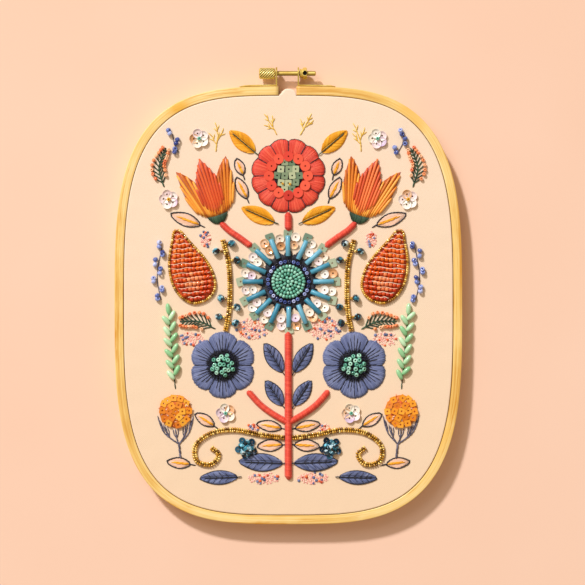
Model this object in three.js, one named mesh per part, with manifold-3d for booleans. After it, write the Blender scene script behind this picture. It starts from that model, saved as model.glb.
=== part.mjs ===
// Bead embroidery held in a split wooden hoop, lying face up.
// Units are millimetres, +Z is up, and +Y runs from the middle of the hoop to its clamp screw.
// The hoop is two rings with the cloth gripped between them. On the cloth lie the sewn motifs,
// each a low solid: beads and sequins of one motif are fused on a thin backing.
import * as THREE from 'three';
import { mergeVertices } from 'three/addons/utils/BufferGeometryUtils.js';
import Module from 'manifold-3d';

const wasm = await Module();
wasm.setup();

// Sizes of the hoop. Its outline is a superellipse, grown or shrunk along its own normal.
const hoop = { halfWidth: 88.7, halfHeight: 111.7, squareness: 3.33, height: 10, segments: 80 };
const outerRing = { thickness: 4.5, edgeRound: 0.5 };
const innerRing = { thickness: 4, top: 8.7 };
const split = { centre: -0.5, width: 9.2 };
const clearance = 0.3;

// Sizes of the cloth: a stretched face, turned down between the rings and trimmed at the back.
const cloth = { thickness: 1, hem: 0.6, edgeRound: 0.35, tuckHeight: 3.2 };

// Sizes of the brass clamp.
const clamp = { axisRise: 7, stripLength: 19, stripThickness: 0.7, stripHeight: 7, earThickness: 0.8, earRadius: 3.2 };
const ears = { left: -6.1, right: 5.1 };
const screw = { rodRadius: 1.25, headRadius: 2.9, headLength: 8.2, headChamfer: 0.5, tipX: 14.1, tipChamfer: 0.4 };
const nut = { neckRadius: 2.3, neckLength: 1.5, hexRadius: 3.05, hexLength: 2.2, crossHole: 1 };

// Sizes of the beads and sequins.
const seedBead = 2;
const bugle = { radius: 1.2, length: 10.5 };
const squareSequin = { size: 4, thickness: 0.5 };
const cupSequin = { radius: 2.5, thickness: 0.7 };
const riceBead = { length: 5.8, radius: 1.45 };
const crystal = 1.5;
const backing = 0.5;

// Heights of the sewn pieces above the cloth.
const relief = { leaf: 0.9, petal: 1.2, raisedPetal: 1.9, stem: 2.6, vine: 1.7, tuft: 4.2, bump: 2.2 };

// Where each motif lies, from the middle of the hoop. Paired motifs are mirrored across x = 0.
const daisy = { x: 0, y: 12, centre: 8.8, collar: 10.35, petalStart: 12.2, petals: 16 };
const zinnia = { x: 0, y: 66, centre: 7.4, petalStart: 7.8, petalEnd: 19, petals: 12, notch: 1.6 };
const tulip = { x: 36, y: 45.5, tilt: 18, calyx: 5.4, size: 1.22 };
const paisley = { x: 48.5, y: 12.5, tilt: 8, size: 1.2 };
const anemone = { x: 33.5, y: -30.5, centre: 6, petalStart: 6.4, petalEnd: 17, petals: 6, notch: 3 };
const riceSpike = { x: 58, y: -38.5, tilt: 5, pairs: 6, pitch: 5.6, spread: 36 };
const marigold = { x: 57.5, y: -54, radius: 8.8 };
const blossoms = [
  { name: 'blossom_top', x: 45.5, y: 85 },
  { name: 'blossom_outer', x: 61, y: 54 },
  { name: 'blossom_low', x: 32, y: -55 },
];
const leaves = [
  { name: 'leaf_crown', x: 17, y: 78, angle: 40, length: 17, width: 8 },
  { name: 'leaf_shoulder', x: 7, y: 42.3, angle: 24, length: 18.5, width: 8 },
  { name: 'leaf_waist', x: 3, y: -34, angle: 58, length: 17, width: 7.5 },
  { name: 'leaf_hip', x: 3, y: -51, angle: 56, length: 15, width: 7 },
  { name: 'leaf_foot', x: 3, y: -80.5, angle: 2, length: 22, width: 8.5 },
  { name: 'leaf_root', x: 26, y: -87.5, angle: -2, length: 19, width: 6.5 },
];

// Routes of the sewn stems on the cloth, one point a row, for the right-hand side.
const stemRadius = 1.9;
const vineRadius = 1.3;
const trunk = { top: -14.3, foot: -88 };
const neck = { bottom: 38.4, top: 46.6 };
const branchRoute = [[0, -60], [7, -56], [14, -51], [20.2, -44.3]];
const armRoute = [[19.4, 30.4], [25, 34.5], [30.4, 38.2], [32.8, 40.3]];
const scrollRoute = [
  [2.5, -67.5], [14, -66], [28, -63.5], [40, -65.5], [47.5, -72], [46.5, -79.5], [39, -81], [35.5, -76], [39, -72.8],
];
const vineRoute = [[32, -12.6], [30.4, -4], [29.8, 8], [30.6, 22], [33.4, 33]];
const vineTwigs = [
  { y: -7, reach: 4 }, { y: -2.5, reach: -3.6 }, { y: 2, reach: 4.2 }, { y: 25, reach: -3.4 }, { y: 28.5, reach: 4 },
];
const berryCluster = { x: 21.5, y: -72.6, ring: 2.7, count: 5 };

const materials = {
  wood: { color: 0xecc27a, roughness: 0.5, metalness: 0 },
  linen: { color: 0xf7e3cb, roughness: 0.9, metalness: 0 },
  brass: { color: 0xc9a44a, roughness: 0.3, metalness: 1 },
  mint: { color: 0x74c6a6, roughness: 0.25, metalness: 0 },
  navy: { color: 0x2a3558, roughness: 0.3, metalness: 0 },
  skyBlue: { color: 0x3f96b4, roughness: 0.3, metalness: 0 },
  coral: { color: 0xe8503c, roughness: 0.7, metalness: 0 },
  sage: { color: 0x93b199, roughness: 0.4, metalness: 0 },
  orange: { color: 0xee8422, roughness: 0.4, metalness: 0 },
  green: { color: 0x33503d, roughness: 0.8, metalness: 0 },
  slate: { color: 0x6b769e, roughness: 0.8, metalness: 0 },
  ochre: { color: 0xe5a21f, roughness: 0.8, metalness: 0 },
  gold: { color: 0xbb8726, roughness: 0.3, metalness: 1 },
  pearl: { color: 0xf3e4d6, roughness: 0.25, metalness: 0 },
};

const radians = THREE.MathUtils.degToRad;

// A closed three.js geometry as a manifold solid, and back.
function solid(geometry) {
  const bare = geometry.clone();
  bare.deleteAttribute('normal');
  bare.deleteAttribute('uv');
  const merged = mergeVertices(bare, 1e-4);
  return new wasm.Manifold(new wasm.Mesh({
    numProp: 3,
    vertProperties: new Float32Array(merged.attributes.position.array),
    triVerts: new Uint32Array(merged.index.array),
  }));
}

function geometryOf(manifold) {
  const mesh = manifold.getMesh();
  const geometry = new THREE.BufferGeometry();
  geometry.setAttribute('position', new THREE.BufferAttribute(new Float32Array(mesh.vertProperties), 3));
  geometry.setIndex(new THREE.BufferAttribute(new Uint32Array(mesh.triVerts), 1));
  geometry.computeVertexNormals();
  return geometry;
}

function fuse(geometries) {
  return geometries.map(solid).reduce((whole, next) => whole.add(next));
}

function addMesh(group, name, geometry, finish) {
  const mesh = new THREE.Mesh(geometry, new THREE.MeshStandardMaterial(materials[finish]));
  mesh.name = name;
  group.add(mesh);
  return mesh;
}

// A point of the hoop's outline at a polar angle, moved out along the outline's normal.
function hoopPoint(angle, offset) {
  const { halfWidth, halfHeight, squareness: n } = hoop;
  const across = Math.cos(angle) / halfWidth;
  const along = Math.sin(angle) / halfHeight;
  const reach = (Math.abs(across) ** n + Math.abs(along) ** n) ** (-1 / n);
  const normal = new THREE.Vector2(
    Math.sign(across) * Math.abs(across * reach) ** (n - 1) / halfWidth,
    Math.sign(along) * Math.abs(along * reach) ** (n - 1) / halfHeight,
  ).normalize();
  return new THREE.Vector2(Math.cos(angle), Math.sin(angle)).multiplyScalar(reach).addScaledVector(normal, offset);
}

function hoopOutline(offset) {
  const points = [];
  for (let i = 0; i < hoop.segments; i += 1) {
    points.push(hoopPoint((i / hoop.segments) * 2 * Math.PI, offset));
  }
  return points;
}

// A flat piece whose outline is rounded off over its upper and lower edges.
function pad(shape, height, round) {
  const geometry = new THREE.ExtrudeGeometry(shape, {
    depth: height - 2 * round,
    bevelEnabled: round > 0,
    bevelThickness: round,
    bevelSize: round,
    bevelOffset: -round,
    bevelSegments: 1,
    curveSegments: 3,
  });
  return geometry.translate(0, 0, round);
}

function plate(shape, height) {
  return pad(shape, height, 0);
}

function boxAt(low, high) {
  const size = [0, 1, 2].map((i) => high[i] - low[i]);
  const middle = [0, 1, 2].map((i) => (high[i] + low[i]) / 2);
  return new THREE.BoxGeometry(...size).translate(...middle);
}

function makeOuterRing() {
  const shape = new THREE.Shape(hoopOutline(0));
  shape.holes.push(new THREE.Path(hoopOutline(-outerRing.thickness)));
  const ring = solid(pad(shape, hoop.height, outerRing.edgeRound));
  const cut = boxAt(
    [split.centre - split.width / 2, hoop.halfHeight - 3 * outerRing.thickness, -1],
    [split.centre + split.width / 2, hoop.halfHeight + outerRing.thickness, hoop.height + 1],
  );
  return geometryOf(ring.subtract(solid(cut)));
}

const clothEdge = -(outerRing.thickness + clearance);
const innerRingEdge = clothEdge - cloth.thickness - clearance;

function makeInnerRing() {
  const shape = new THREE.Shape(hoopOutline(innerRingEdge));
  shape.holes.push(new THREE.Path(hoopOutline(innerRingEdge - innerRing.thickness)));
  return plate(shape, innerRing.top);
}

// The tuck of cloth that bulges into the split of the outer ring.
function makeTuck() {
  const half = split.width / 2 - clearance;
  const base = hoop.halfHeight + clothEdge;
  const shape = new THREE.Shape();
  shape.moveTo(split.centre - half, base - 2);
  shape.lineTo(split.centre - half, base - 0.2);
  shape.quadraticCurveTo(split.centre - half * 0.4, base, split.centre + 0.3, base + cloth.tuckHeight);
  shape.quadraticCurveTo(split.centre + half * 0.7, base + cloth.tuckHeight, split.centre + half, base + 1);
  shape.lineTo(split.centre + half, base - 2);
  return pad(shape, hoop.height - cloth.hem, cloth.edgeRound).translate(0, 0, cloth.hem);
}

function makeCloth() {
  const face = pad(new THREE.Shape(hoopOutline(clothEdge)), hoop.height - cloth.hem, cloth.edgeRound);
  const under = hoopOutline(clothEdge - cloth.thickness);
  const hollow = plate(new THREE.Shape(under), hoop.height - cloth.thickness + 1).translate(0, 0, -1);
  const whole = solid(face.translate(0, 0, cloth.hem)).add(solid(makeTuck()));
  return geometryOf(whole.subtract(solid(hollow)));
}

// One side of the clamp: a strip that follows the outer ring, with an ear for the screw.
function makeBracket(earX) {
  const side = Math.sign(earX);
  const low = (hoop.height - clamp.stripHeight) / 2;
  const inside = [];
  const outside = [];
  const steps = 6;
  for (let i = 0; i <= steps; i += 1) {
    const x = earX + side * clamp.stripLength * (i / steps);
    const angle = Math.PI / 2 - Math.atan2(x, hoop.halfHeight);
    inside.push(hoopPoint(angle, clearance));
    outside.push(hoopPoint(angle, clearance + clamp.stripThickness));
  }
  const strip = plate(new THREE.Shape([...inside, ...outside.reverse()]), clamp.stripHeight).translate(0, 0, low);
  const axisY = hoop.halfHeight + clamp.axisRise;
  const ear = new THREE.Shape();
  const foot = hoop.halfHeight + clearance;
  ear.moveTo(foot, -clamp.earRadius);
  ear.lineTo(axisY, -clamp.earRadius);
  ear.absarc(axisY, 0, clamp.earRadius, -Math.PI / 2, Math.PI / 2, false);
  ear.lineTo(foot, clamp.earRadius);
  ear.closePath();
  const hole = new THREE.Path();
  hole.absarc(axisY, 0, screw.rodRadius + clearance, 0, 2 * Math.PI, true);
  ear.holes.push(hole);
  const earPlate = plate(ear, clamp.earThickness);
  // The ear is drawn in the YZ plane: its shape's x becomes +Y and its shape's y becomes +Z.
  const basis = new THREE.Matrix4().makeBasis(
    new THREE.Vector3(0, 1, 0),
    new THREE.Vector3(0, 0, 1),
    new THREE.Vector3(1, 0, 0),
  );
  earPlate.applyMatrix4(basis).translate(earX - clamp.earThickness / 2, 0, hoop.height / 2);
  return geometryOf(solid(strip).add(solid(earPlate)));
}

// A turned piece along +X, from a table of [x, radius] steps, starting and ending on the axis.
function turned(steps, segments) {
  const profile = steps.map(([x, radius]) => new THREE.Vector2(radius, x));
  return new THREE.LatheGeometry(profile, segments).rotateZ(-Math.PI / 2);
}

function makeScrew() {
  const headEnd = ears.left - clamp.earThickness / 2 - clearance;
  const headStart = headEnd - screw.headLength;
  return turned([
    [headStart, 0],
    [headStart, screw.headRadius - screw.headChamfer],
    [headStart + screw.headChamfer, screw.headRadius],
    [headEnd - screw.headChamfer, screw.headRadius],
    [headEnd, screw.headRadius - screw.headChamfer],
    [headEnd, screw.rodRadius],
    [screw.tipX - screw.tipChamfer, screw.rodRadius],
    [screw.tipX, screw.rodRadius - screw.tipChamfer],
    [screw.tipX, 0],
  ], 16);
}

function makeNut() {
  const start = ears.right + clamp.earThickness / 2 + clearance;
  const overlap = 0.2;
  const neckPiece = turned(
    [[0, 0], [0, nut.neckRadius], [nut.neckLength + overlap, nut.neckRadius], [nut.neckLength + overlap, 0]],
    16,
  );
  const hex = turned([[0, 0], [0, nut.hexRadius], [nut.hexLength, nut.hexRadius], [nut.hexLength, 0]], 6)
    .rotateX(Math.PI / 6)
    .translate(nut.neckLength, 0, 0);
  const boreRadius = screw.rodRadius + clearance;
  const length = nut.neckLength + nut.hexLength;
  const bore = turned([[-1, 0], [-1, boreRadius], [length + 1, boreRadius], [length + 1, 0]], 16);
  const cross = new THREE.CylinderGeometry(nut.crossHole, nut.crossHole, 2 * nut.hexRadius, 12)
    .rotateX(Math.PI / 2)
    .translate(nut.neckLength + nut.hexLength / 2, 0, nut.hexRadius);
  const whole = fuse([neckPiece, hex]).subtract(solid(bore)).subtract(solid(cross));
  return geometryOf(whole.translate([start, 0, 0]));
}

// An almond leaf along +X from its foot, with blunt ends.
function leafShape(length, width) {
  const shape = new THREE.Shape();
  const blunt = 0.5;
  shape.moveTo(0, -blunt);
  shape.quadraticCurveTo(length * 0.45, -width, length, -blunt);
  shape.lineTo(length, blunt);
  shape.quadraticCurveTo(length * 0.45, width, 0, blunt);
  return shape;
}

// The outline of a round flower: one rounded lobe for each petal, with notches between them.
function rosetteOutline(petals, radius, notch) {
  const points = [];
  const stepsPerPetal = 5;
  const steps = petals * stepsPerPetal;
  for (let i = 0; i < steps; i += 1) {
    const lobe = Math.abs(Math.sin(((i % stepsPerPetal) / stepsPerPetal) * Math.PI));
    const angle = (i / steps) * 2 * Math.PI;
    const reach = radius - notch * (1 - Math.sqrt(lobe));
    points.push(new THREE.Vector2(reach * Math.cos(angle), reach * Math.sin(angle)));
  }
  return points;
}

function circlePoints(radius, sides) {
  const points = [];
  for (let i = 0; i < sides; i += 1) {
    const angle = (i / sides) * 2 * Math.PI;
    points.push(new THREE.Vector2(radius * Math.cos(angle), radius * Math.sin(angle)));
  }
  return points;
}

function plateRing(outer, inner, height) {
  const shape = new THREE.Shape(circlePoints(outer, 24));
  shape.holes.push(new THREE.Path(circlePoints(inner, 24)));
  return plate(shape, height);
}

// A round head of petals with an open middle.
function petalHead(flower, height) {
  const shape = new THREE.Shape(rosetteOutline(flower.petals, flower.petalEnd, flower.notch));
  shape.holes.push(new THREE.Path(circlePoints(flower.petalStart, 24)));
  return pad(shape, height, 0.4);
}

// A round bed of seed beads: one ridge for each ring of beads, over a flat foot.
function beadBed(radius, height) {
  const profile = [new THREE.Vector2(0, 0), new THREE.Vector2(radius, 0), new THREE.Vector2(radius, height * 0.5)];
  for (let r = radius - seedBead / 2; r > seedBead / 2; r -= seedBead) {
    profile.push(new THREE.Vector2(r, height));
    profile.push(new THREE.Vector2(r - seedBead / 2, height * 0.65));
  }
  profile.push(new THREE.Vector2(0, height));
  return new THREE.LatheGeometry(profile, 24).rotateX(Math.PI / 2);
}

function makeDaisyCollar() {
  const points = [];
  const sides = 6;
  for (let i = 0; i < sides; i += 1) {
    const angle = (i / sides) * 2 * Math.PI;
    const across = daisy.collar + (seedBead / 2) * Math.cos(angle);
    points.push(new THREE.Vector2(across, (seedBead / 2) * (1 + Math.sin(angle))));
  }
  points.push(points[0].clone());
  return new THREE.LatheGeometry(points, 24).rotateX(Math.PI / 2);
}

// Bugle beads laid as petals, each with a square sequin at its tip, on a ring of backing.
function makeDaisyPetals() {
  const middle = daisy.petalStart + 0.4 + bugle.length / 2;
  const pieces = [plateRing(daisy.petalStart + 6, daisy.petalStart, backing)];
  for (let i = 0; i < daisy.petals; i += 1) {
    const turn = (i / daisy.petals) * 2 * Math.PI;
    const tube = new THREE.CylinderGeometry(bugle.radius, bugle.radius, bugle.length, 6)
      .rotateZ(Math.PI / 2)
      .translate(middle, 0, bugle.radius);
    const sequin = boxAt(
      [middle + bugle.length / 2 - 1.5, -squareSequin.size / 2, 0],
      [middle + bugle.length / 2 - 1.5 + squareSequin.size, squareSequin.size / 2, squareSequin.thickness],
    );
    pieces.push(tube.rotateZ(turn), sequin.rotateZ(turn));
  }
  return geometryOf(fuse(pieces));
}

// A tulip along +Y from its foot: two outer petals and a raised one in front.
function makeTulip() {
  const outer = new THREE.Shape();
  outer.moveTo(0, 0);
  outer.bezierCurveTo(8, 0, 12, 7, 11, 23);
  outer.bezierCurveTo(8, 21, 6, 18, 4.5, 15);
  outer.lineTo(-4.5, 15);
  outer.bezierCurveTo(-6, 18, -8, 21, -11, 23);
  outer.bezierCurveTo(-12, 7, -8, 0, 0, 0);
  const front = new THREE.Shape();
  front.moveTo(0, 1);
  front.bezierCurveTo(6.5, 4, 7.5, 14, 0, 25);
  front.bezierCurveTo(-7.5, 14, -6.5, 4, 0, 1);
  const head = geometryOf(fuse([pad(outer, relief.petal, 0.4), pad(front, relief.raisedPetal, 0.5)]));
  return head.scale(tulip.size, tulip.size, 1);
}

function makeCalyx() {
  const shape = new THREE.Shape();
  shape.moveTo(-tulip.calyx, -0.2);
  shape.quadraticCurveTo(0, -1.4, tulip.calyx, -0.2);
  shape.quadraticCurveTo(3, -3.6, 1.4, -3.8);
  shape.lineTo(-1.4, -3.8);
  shape.quadraticCurveTo(-3, -3.6, -tulip.calyx, -0.2);
  return pad(shape, relief.petal, 0.2);
}

// A curved drop filled with rows of seed beads: one ridge for each row.
function makePaisley(side) {
  const outline = new THREE.Shape();
  outline.moveTo(-9.5, -2);
  outline.bezierCurveTo(-9.5, 8, -3, 13, 1.5, 21);
  outline.bezierCurveTo(2.8, 23.4, 5.8, 23.2, 6.2, 20.5);
  outline.bezierCurveTo(7, 16.5, 10, 12, 9.8, 4);
  outline.bezierCurveTo(9.6, -5, 4, -10, 0, -10);
  outline.bezierCurveTo(-5, -10, -9.5, -7, -9.5, -2);
  const mirrored = outline.getPoints(4).map((p) => new THREE.Vector2(side * p.x, p.y).multiplyScalar(paisley.size));
  const [half, low, high] = [12, -12, 28];
  const rows = [boxAt([-half, low, 0], [half, high, seedBead * 0.5])];
  for (let y = low + seedBead; y < high; y += seedBead) {
    const row = new THREE.CylinderGeometry(seedBead * 0.55, seedBead * 0.55, 2 * half, 6);
    rows.push(row.rotateZ(Math.PI / 2).translate(0, y, seedBead * 0.55));
  }
  return geometryOf(fuse(rows).intersect(solid(plate(new THREE.Shape(mirrored), seedBead * 2))));
}

// A tuft of beads that stand on stalks: a dome with a ring of knobs and one on top.
function makeTuft() {
  const dome = new THREE.LatheGeometry([
    new THREE.Vector2(0, 0),
    new THREE.Vector2(anemone.centre, 0),
    new THREE.Vector2(anemone.centre, relief.petal),
    new THREE.Vector2(anemone.centre * 0.55, relief.tuft * 0.6),
    new THREE.Vector2(0, relief.tuft * 0.7),
  ], 12).rotateX(Math.PI / 2);
  const knob = () => new THREE.IcosahedronGeometry(seedBead * 0.6, 0);
  const pieces = [dome, knob().translate(0, 0, relief.tuft - seedBead * 0.5)];
  const knobs = 6;
  for (let i = 0; i < knobs; i += 1) {
    const angle = (i / knobs) * 2 * Math.PI;
    const out = anemone.centre * 0.6;
    pieces.push(knob().translate(out * Math.cos(angle), out * Math.sin(angle), relief.tuft * 0.62));
  }
  return geometryOf(fuse(pieces));
}

// A spike of rice-shaped beads in pairs along +Y, on a narrow strip of backing.
function makeRiceSpike() {
  const { pairs, pitch, spread } = riceSpike;
  const pieces = [boxAt([-0.7, 0, 0], [0.7, pairs * pitch + riceBead.length * 0.3, 1])];
  const beadAlong = () => new THREE.SphereGeometry(1, 6, 3)
    .rotateZ(Math.PI / 2)
    .scale(riceBead.length / 2, riceBead.radius, riceBead.radius);
  for (let i = 0; i < pairs; i += 1) {
    for (const side of [-1, 1]) {
      const angle = Math.PI / 2 - side * radians(spread);
      const reach = riceBead.length * 0.48;
      const piece = beadAlong().rotateZ(angle);
      pieces.push(piece.translate(
        reach * Math.cos(angle),
        (i + 0.35 + 0.2 * side) * pitch + reach * Math.sin(angle),
        riceBead.radius,
      ));
    }
  }
  const top = beadAlong().rotateZ(Math.PI / 2);
  pieces.push(top.translate(0, pairs * pitch + riceBead.length * 0.55, riceBead.radius));
  return geometryOf(fuse(pieces));
}

// A sewn cord of round section, flattened to its height, along points on the cloth.
function strand(points, radius, height, sides, spacing) {
  const curve = new THREE.CatmullRomCurve3(points.map(([x, y]) => new THREE.Vector3(x, y, 0)));
  const section = new THREE.Shape();
  for (let i = 0; i < sides; i += 1) {
    const angle = ((i + 0.5) / sides) * 2 * Math.PI;
    const corner = [radius * Math.cos(angle), radius * Math.sin(angle)];
    if (i === 0) {
      section.moveTo(...corner);
    } else {
      section.lineTo(...corner);
    }
  }
  const steps = Math.max(2, Math.round(curve.getLength() / spacing));
  const geometry = new THREE.ExtrudeGeometry(section, { steps, bevelEnabled: false, extrudePath: curve });
  const flatten = height / (2 * radius);
  return geometry.scale(1, 1, flatten).translate(0, 0, height / 2);
}

const onSide = (points, side) => points.map(([x, y]) => [side * x, y]);

// The thick padded stems: the trunk with a branch to each side.
function makeTrunk() {
  const pieces = [strand([[0, trunk.foot], [0, trunk.top]], stemRadius, relief.stem, 8, 80)];
  for (const side of [-1, 1]) {
    pieces.push(strand(onSide(branchRoute, side), stemRadius * 0.85, relief.stem * 0.9, 8, 5));
  }
  return geometryOf(fuse(pieces));
}

// How far from the middle the vine runs at a height, by straight lines between its points.
function onVine(y) {
  const upper = vineRoute.findIndex((point) => point[1] > y);
  const [x0, y0] = vineRoute[upper - 1];
  const [x1, y1] = vineRoute[upper];
  return x0 + ((x1 - x0) * (y - y0)) / (y1 - y0);
}

// A vine of gold beads with crystals set along it on short twigs.
function makeVine(side) {
  const pieces = [strand(onSide(vineRoute, side), vineRadius, relief.vine, 6, 5)];
  for (const { y, reach } of vineTwigs) {
    const root = onVine(y);
    const twig = boxAt([Math.min(0, side * reach), -0.5, 0], [Math.max(0, side * reach), 0.5, backing * 2]);
    pieces.push(twig.translate(side * root, y, 0));
    pieces.push(new THREE.IcosahedronGeometry(crystal, 0).translate(side * (root + reach), y, crystal * 0.9));
  }
  return geometryOf(fuse(pieces));
}

function makeBerries() {
  const reach = berryCluster.ring + crystal * 0.6;
  const pieces = [new THREE.CylinderGeometry(reach, reach, backing, 8).rotateX(Math.PI / 2).translate(0, 0, backing / 2)];
  pieces.push(new THREE.IcosahedronGeometry(crystal * 1.1, 0).translate(0, 0, crystal));
  for (let i = 0; i < berryCluster.count; i += 1) {
    const angle = (i / berryCluster.count) * 2 * Math.PI;
    const bead = new THREE.IcosahedronGeometry(crystal, 0);
    pieces.push(bead.translate(berryCluster.ring * Math.cos(angle), berryCluster.ring * Math.sin(angle), crystal * 0.9));
  }
  return geometryOf(fuse(pieces));
}

// A blossom of five cup sequins round one bead.
function makeBlossom() {
  const petals = 5;
  const reach = cupSequin.radius * 2;
  const shape = new THREE.Shape(rosetteOutline(petals, reach, reach * 0.35));
  const bead = new THREE.IcosahedronGeometry(seedBead * 0.6, 0).translate(0, 0, cupSequin.thickness + 0.3);
  return geometryOf(fuse([pad(shape, cupSequin.thickness, 0.2), bead]));
}

// A round pompom of small square sequins: a low dome.
function makeMarigold() {
  return new THREE.LatheGeometry([
    new THREE.Vector2(0, 0),
    new THREE.Vector2(marigold.radius, 0),
    new THREE.Vector2(marigold.radius, relief.leaf),
    new THREE.Vector2(marigold.radius * 0.75, relief.bump * 0.8),
    new THREE.Vector2(0, relief.bump),
  ], 18).rotateX(Math.PI / 2);
}

function addHoop(group) {
  addMesh(group, 'outer_ring', makeOuterRing(), 'wood');
  addMesh(group, 'inner_ring', makeInnerRing(), 'wood');
  addMesh(group, 'cloth', makeCloth(), 'linen');
}

function addClamp(group) {
  addMesh(group, 'bracket_left', makeBracket(ears.left), 'brass');
  addMesh(group, 'bracket_right', makeBracket(ears.right), 'brass');
  const onAxis = new THREE.Group();
  onAxis.position.set(0, hoop.halfHeight + clamp.axisRise, hoop.height / 2);
  addMesh(onAxis, 'thumb_screw', makeScrew(), 'brass');
  addMesh(onAxis, 'nut', makeNut(), 'brass');
  group.add(onAxis);
}

function addDaisy(work) {
  const head = new THREE.Group();
  head.position.set(daisy.x, daisy.y, 0);
  addMesh(head, 'daisy_centre', beadBed(daisy.centre, seedBead), 'mint');
  addMesh(head, 'daisy_collar', makeDaisyCollar(), 'navy');
  addMesh(head, 'daisy_petals', makeDaisyPetals(), 'skyBlue');
  work.add(head);
}

function addZinnia(work) {
  const head = new THREE.Group();
  head.position.set(zinnia.x, zinnia.y, 0);
  addMesh(head, 'zinnia_centre', beadBed(zinnia.centre, seedBead * 0.8), 'sage');
  addMesh(head, 'zinnia_petals', petalHead(zinnia, relief.petal), 'coral');
  work.add(head);
}

function addStems(work) {
  addMesh(work, 'trunk', makeTrunk(), 'coral');
  addMesh(work, 'neck_stem', strand([[0, neck.bottom], [0, neck.top]], stemRadius, relief.stem, 8, 20), 'coral');
}

// Everything that comes in a mirrored pair.
function addPair(work, side) {
  const suffix = side < 0 ? 'left' : 'right';
  const place = (name, geometry, finish, spot) => {
    const mesh = addMesh(work, `${name}_${suffix}`, geometry, finish);
    mesh.position.set(side * spot.x, spot.y, 0);
    mesh.rotation.z = -side * radians(spot.tilt ?? 0);
  };
  place('tulip', makeTulip(), 'orange', tulip);
  place('calyx', makeCalyx(), 'green', tulip);
  place('paisley', makePaisley(side), 'orange', paisley);
  place('anemone', petalHead(anemone, relief.petal), 'slate', anemone);
  place('tuft', makeTuft(), 'mint', anemone);
  place('rice_spike', makeRiceSpike(), 'mint', riceSpike);
  place('marigold', makeMarigold(), 'orange', marigold);
  place('berries', makeBerries(), 'navy', berryCluster);
  addMesh(work, `arm_${suffix}`, strand(onSide(armRoute, side), stemRadius * 0.85, relief.stem * 0.9, 8, 5), 'coral');
  addMesh(work, `scroll_${suffix}`, strand(onSide(scrollRoute, side), vineRadius, relief.vine, 6, 4), 'gold');
  addMesh(work, `vine_${suffix}`, makeVine(side), 'gold');
  for (const blossom of blossoms) {
    place(blossom.name, makeBlossom(), 'pearl', blossom);
  }
  for (const leaf of leaves) {
    const geometry = pad(leafShape(leaf.length, leaf.width), relief.leaf, 0.3);
    const mesh = addMesh(work, `${leaf.name}_${suffix}`, geometry, leaf.y > 0 ? 'ochre' : 'slate');
    mesh.position.set(side * leaf.x, leaf.y, 0);
    mesh.rotation.z = side > 0 ? radians(leaf.angle) : Math.PI - radians(leaf.angle);
  }
}

const embroidery = new THREE.Group();
// The middle of the whole outline, clamp included, lies over the origin.
embroidery.position.y = -(clamp.axisRise + clamp.earRadius) / 2;
addHoop(embroidery);
addClamp(embroidery);

const work = new THREE.Group();
work.position.z = hoop.height + clearance;
addDaisy(work);
addZinnia(work);
addStems(work);
addPair(work, -1);
addPair(work, 1);
embroidery.add(work);

export default embroidery;
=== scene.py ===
# Bead embroidery in a wooden hoop, seen from straight above.
# Lengths below are millimetres from the middle of the hoop; toRow() turns them into the row's metres.
import math
import bpy
import numpy as np
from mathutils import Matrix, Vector
from mathutils.geometry import tessellate_polygon


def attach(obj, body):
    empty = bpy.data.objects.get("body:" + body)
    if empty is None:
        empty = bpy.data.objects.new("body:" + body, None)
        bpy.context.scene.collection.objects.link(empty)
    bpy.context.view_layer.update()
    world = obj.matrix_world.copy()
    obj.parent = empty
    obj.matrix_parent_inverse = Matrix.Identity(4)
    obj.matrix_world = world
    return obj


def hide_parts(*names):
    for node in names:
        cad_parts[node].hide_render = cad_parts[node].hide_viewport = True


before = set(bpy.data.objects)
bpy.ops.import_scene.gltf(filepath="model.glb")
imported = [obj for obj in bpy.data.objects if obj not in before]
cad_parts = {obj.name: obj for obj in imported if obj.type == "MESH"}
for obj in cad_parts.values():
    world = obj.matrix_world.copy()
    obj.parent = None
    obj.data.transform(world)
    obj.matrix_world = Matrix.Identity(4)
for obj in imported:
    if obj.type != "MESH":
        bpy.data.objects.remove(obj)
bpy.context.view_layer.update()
fullTurn = 2 * math.pi
goldenAngle = 2.39996                   # from one seed of a spiral to the next
halves = ((-1, "left"), (1, "right"))   # the bouquet is symmetric

hoop = {
    "halfWidth": 88.7, "halfHeight": 111.7, "squareness": 3.33, "height": 10,
    "splitCentre": -0.5, "splitWidth": 9.2, "middleY": -5.1,
    "outerThickness": 4.5, "outerCorner": 0.4, "outerSteps": 360,
    "innerEdge": -6.1, "innerThickness": 4, "innerTop": 8.7, "innerCorner": 0.5, "innerSteps": 320,
}
clothTop = hoop["height"]


def toRow(points):
    return (np.asarray(points, float) + [0, hoop["middleY"], 0]) * 0.001


def linear(code):                       # a colour code as the linear values a shader wants
    parts = [int(code[i:i + 2], 16) / 255 for i in (1, 3, 5)]
    return tuple(p / 12.92 if p <= 0.04045 else ((p + 0.055) / 1.055) ** 2.4 for p in parts) + (1.0,)


# Shaders

class Field:                            # a socket that can stand in sums and products
    def __init__(self, finish, socket):
        self.finish, self.socket = finish, socket

    def math(self, operation, *others):
        values = dict(enumerate((self,) + others))
        return self.finish.add("ShaderNodeMath", {"operation": operation}, values)

    def __add__(self, other):
        return self.math("ADD", other)

    def __sub__(self, other):
        return self.math("SUBTRACT", other)

    def __rsub__(self, other):
        return self.finish.add("ShaderNodeMath", {"operation": "SUBTRACT"}, {0: other, 1: self})

    def __mul__(self, other):
        return self.math("MULTIPLY", other)

    __radd__ = __add__
    __rmul__ = __mul__


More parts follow.
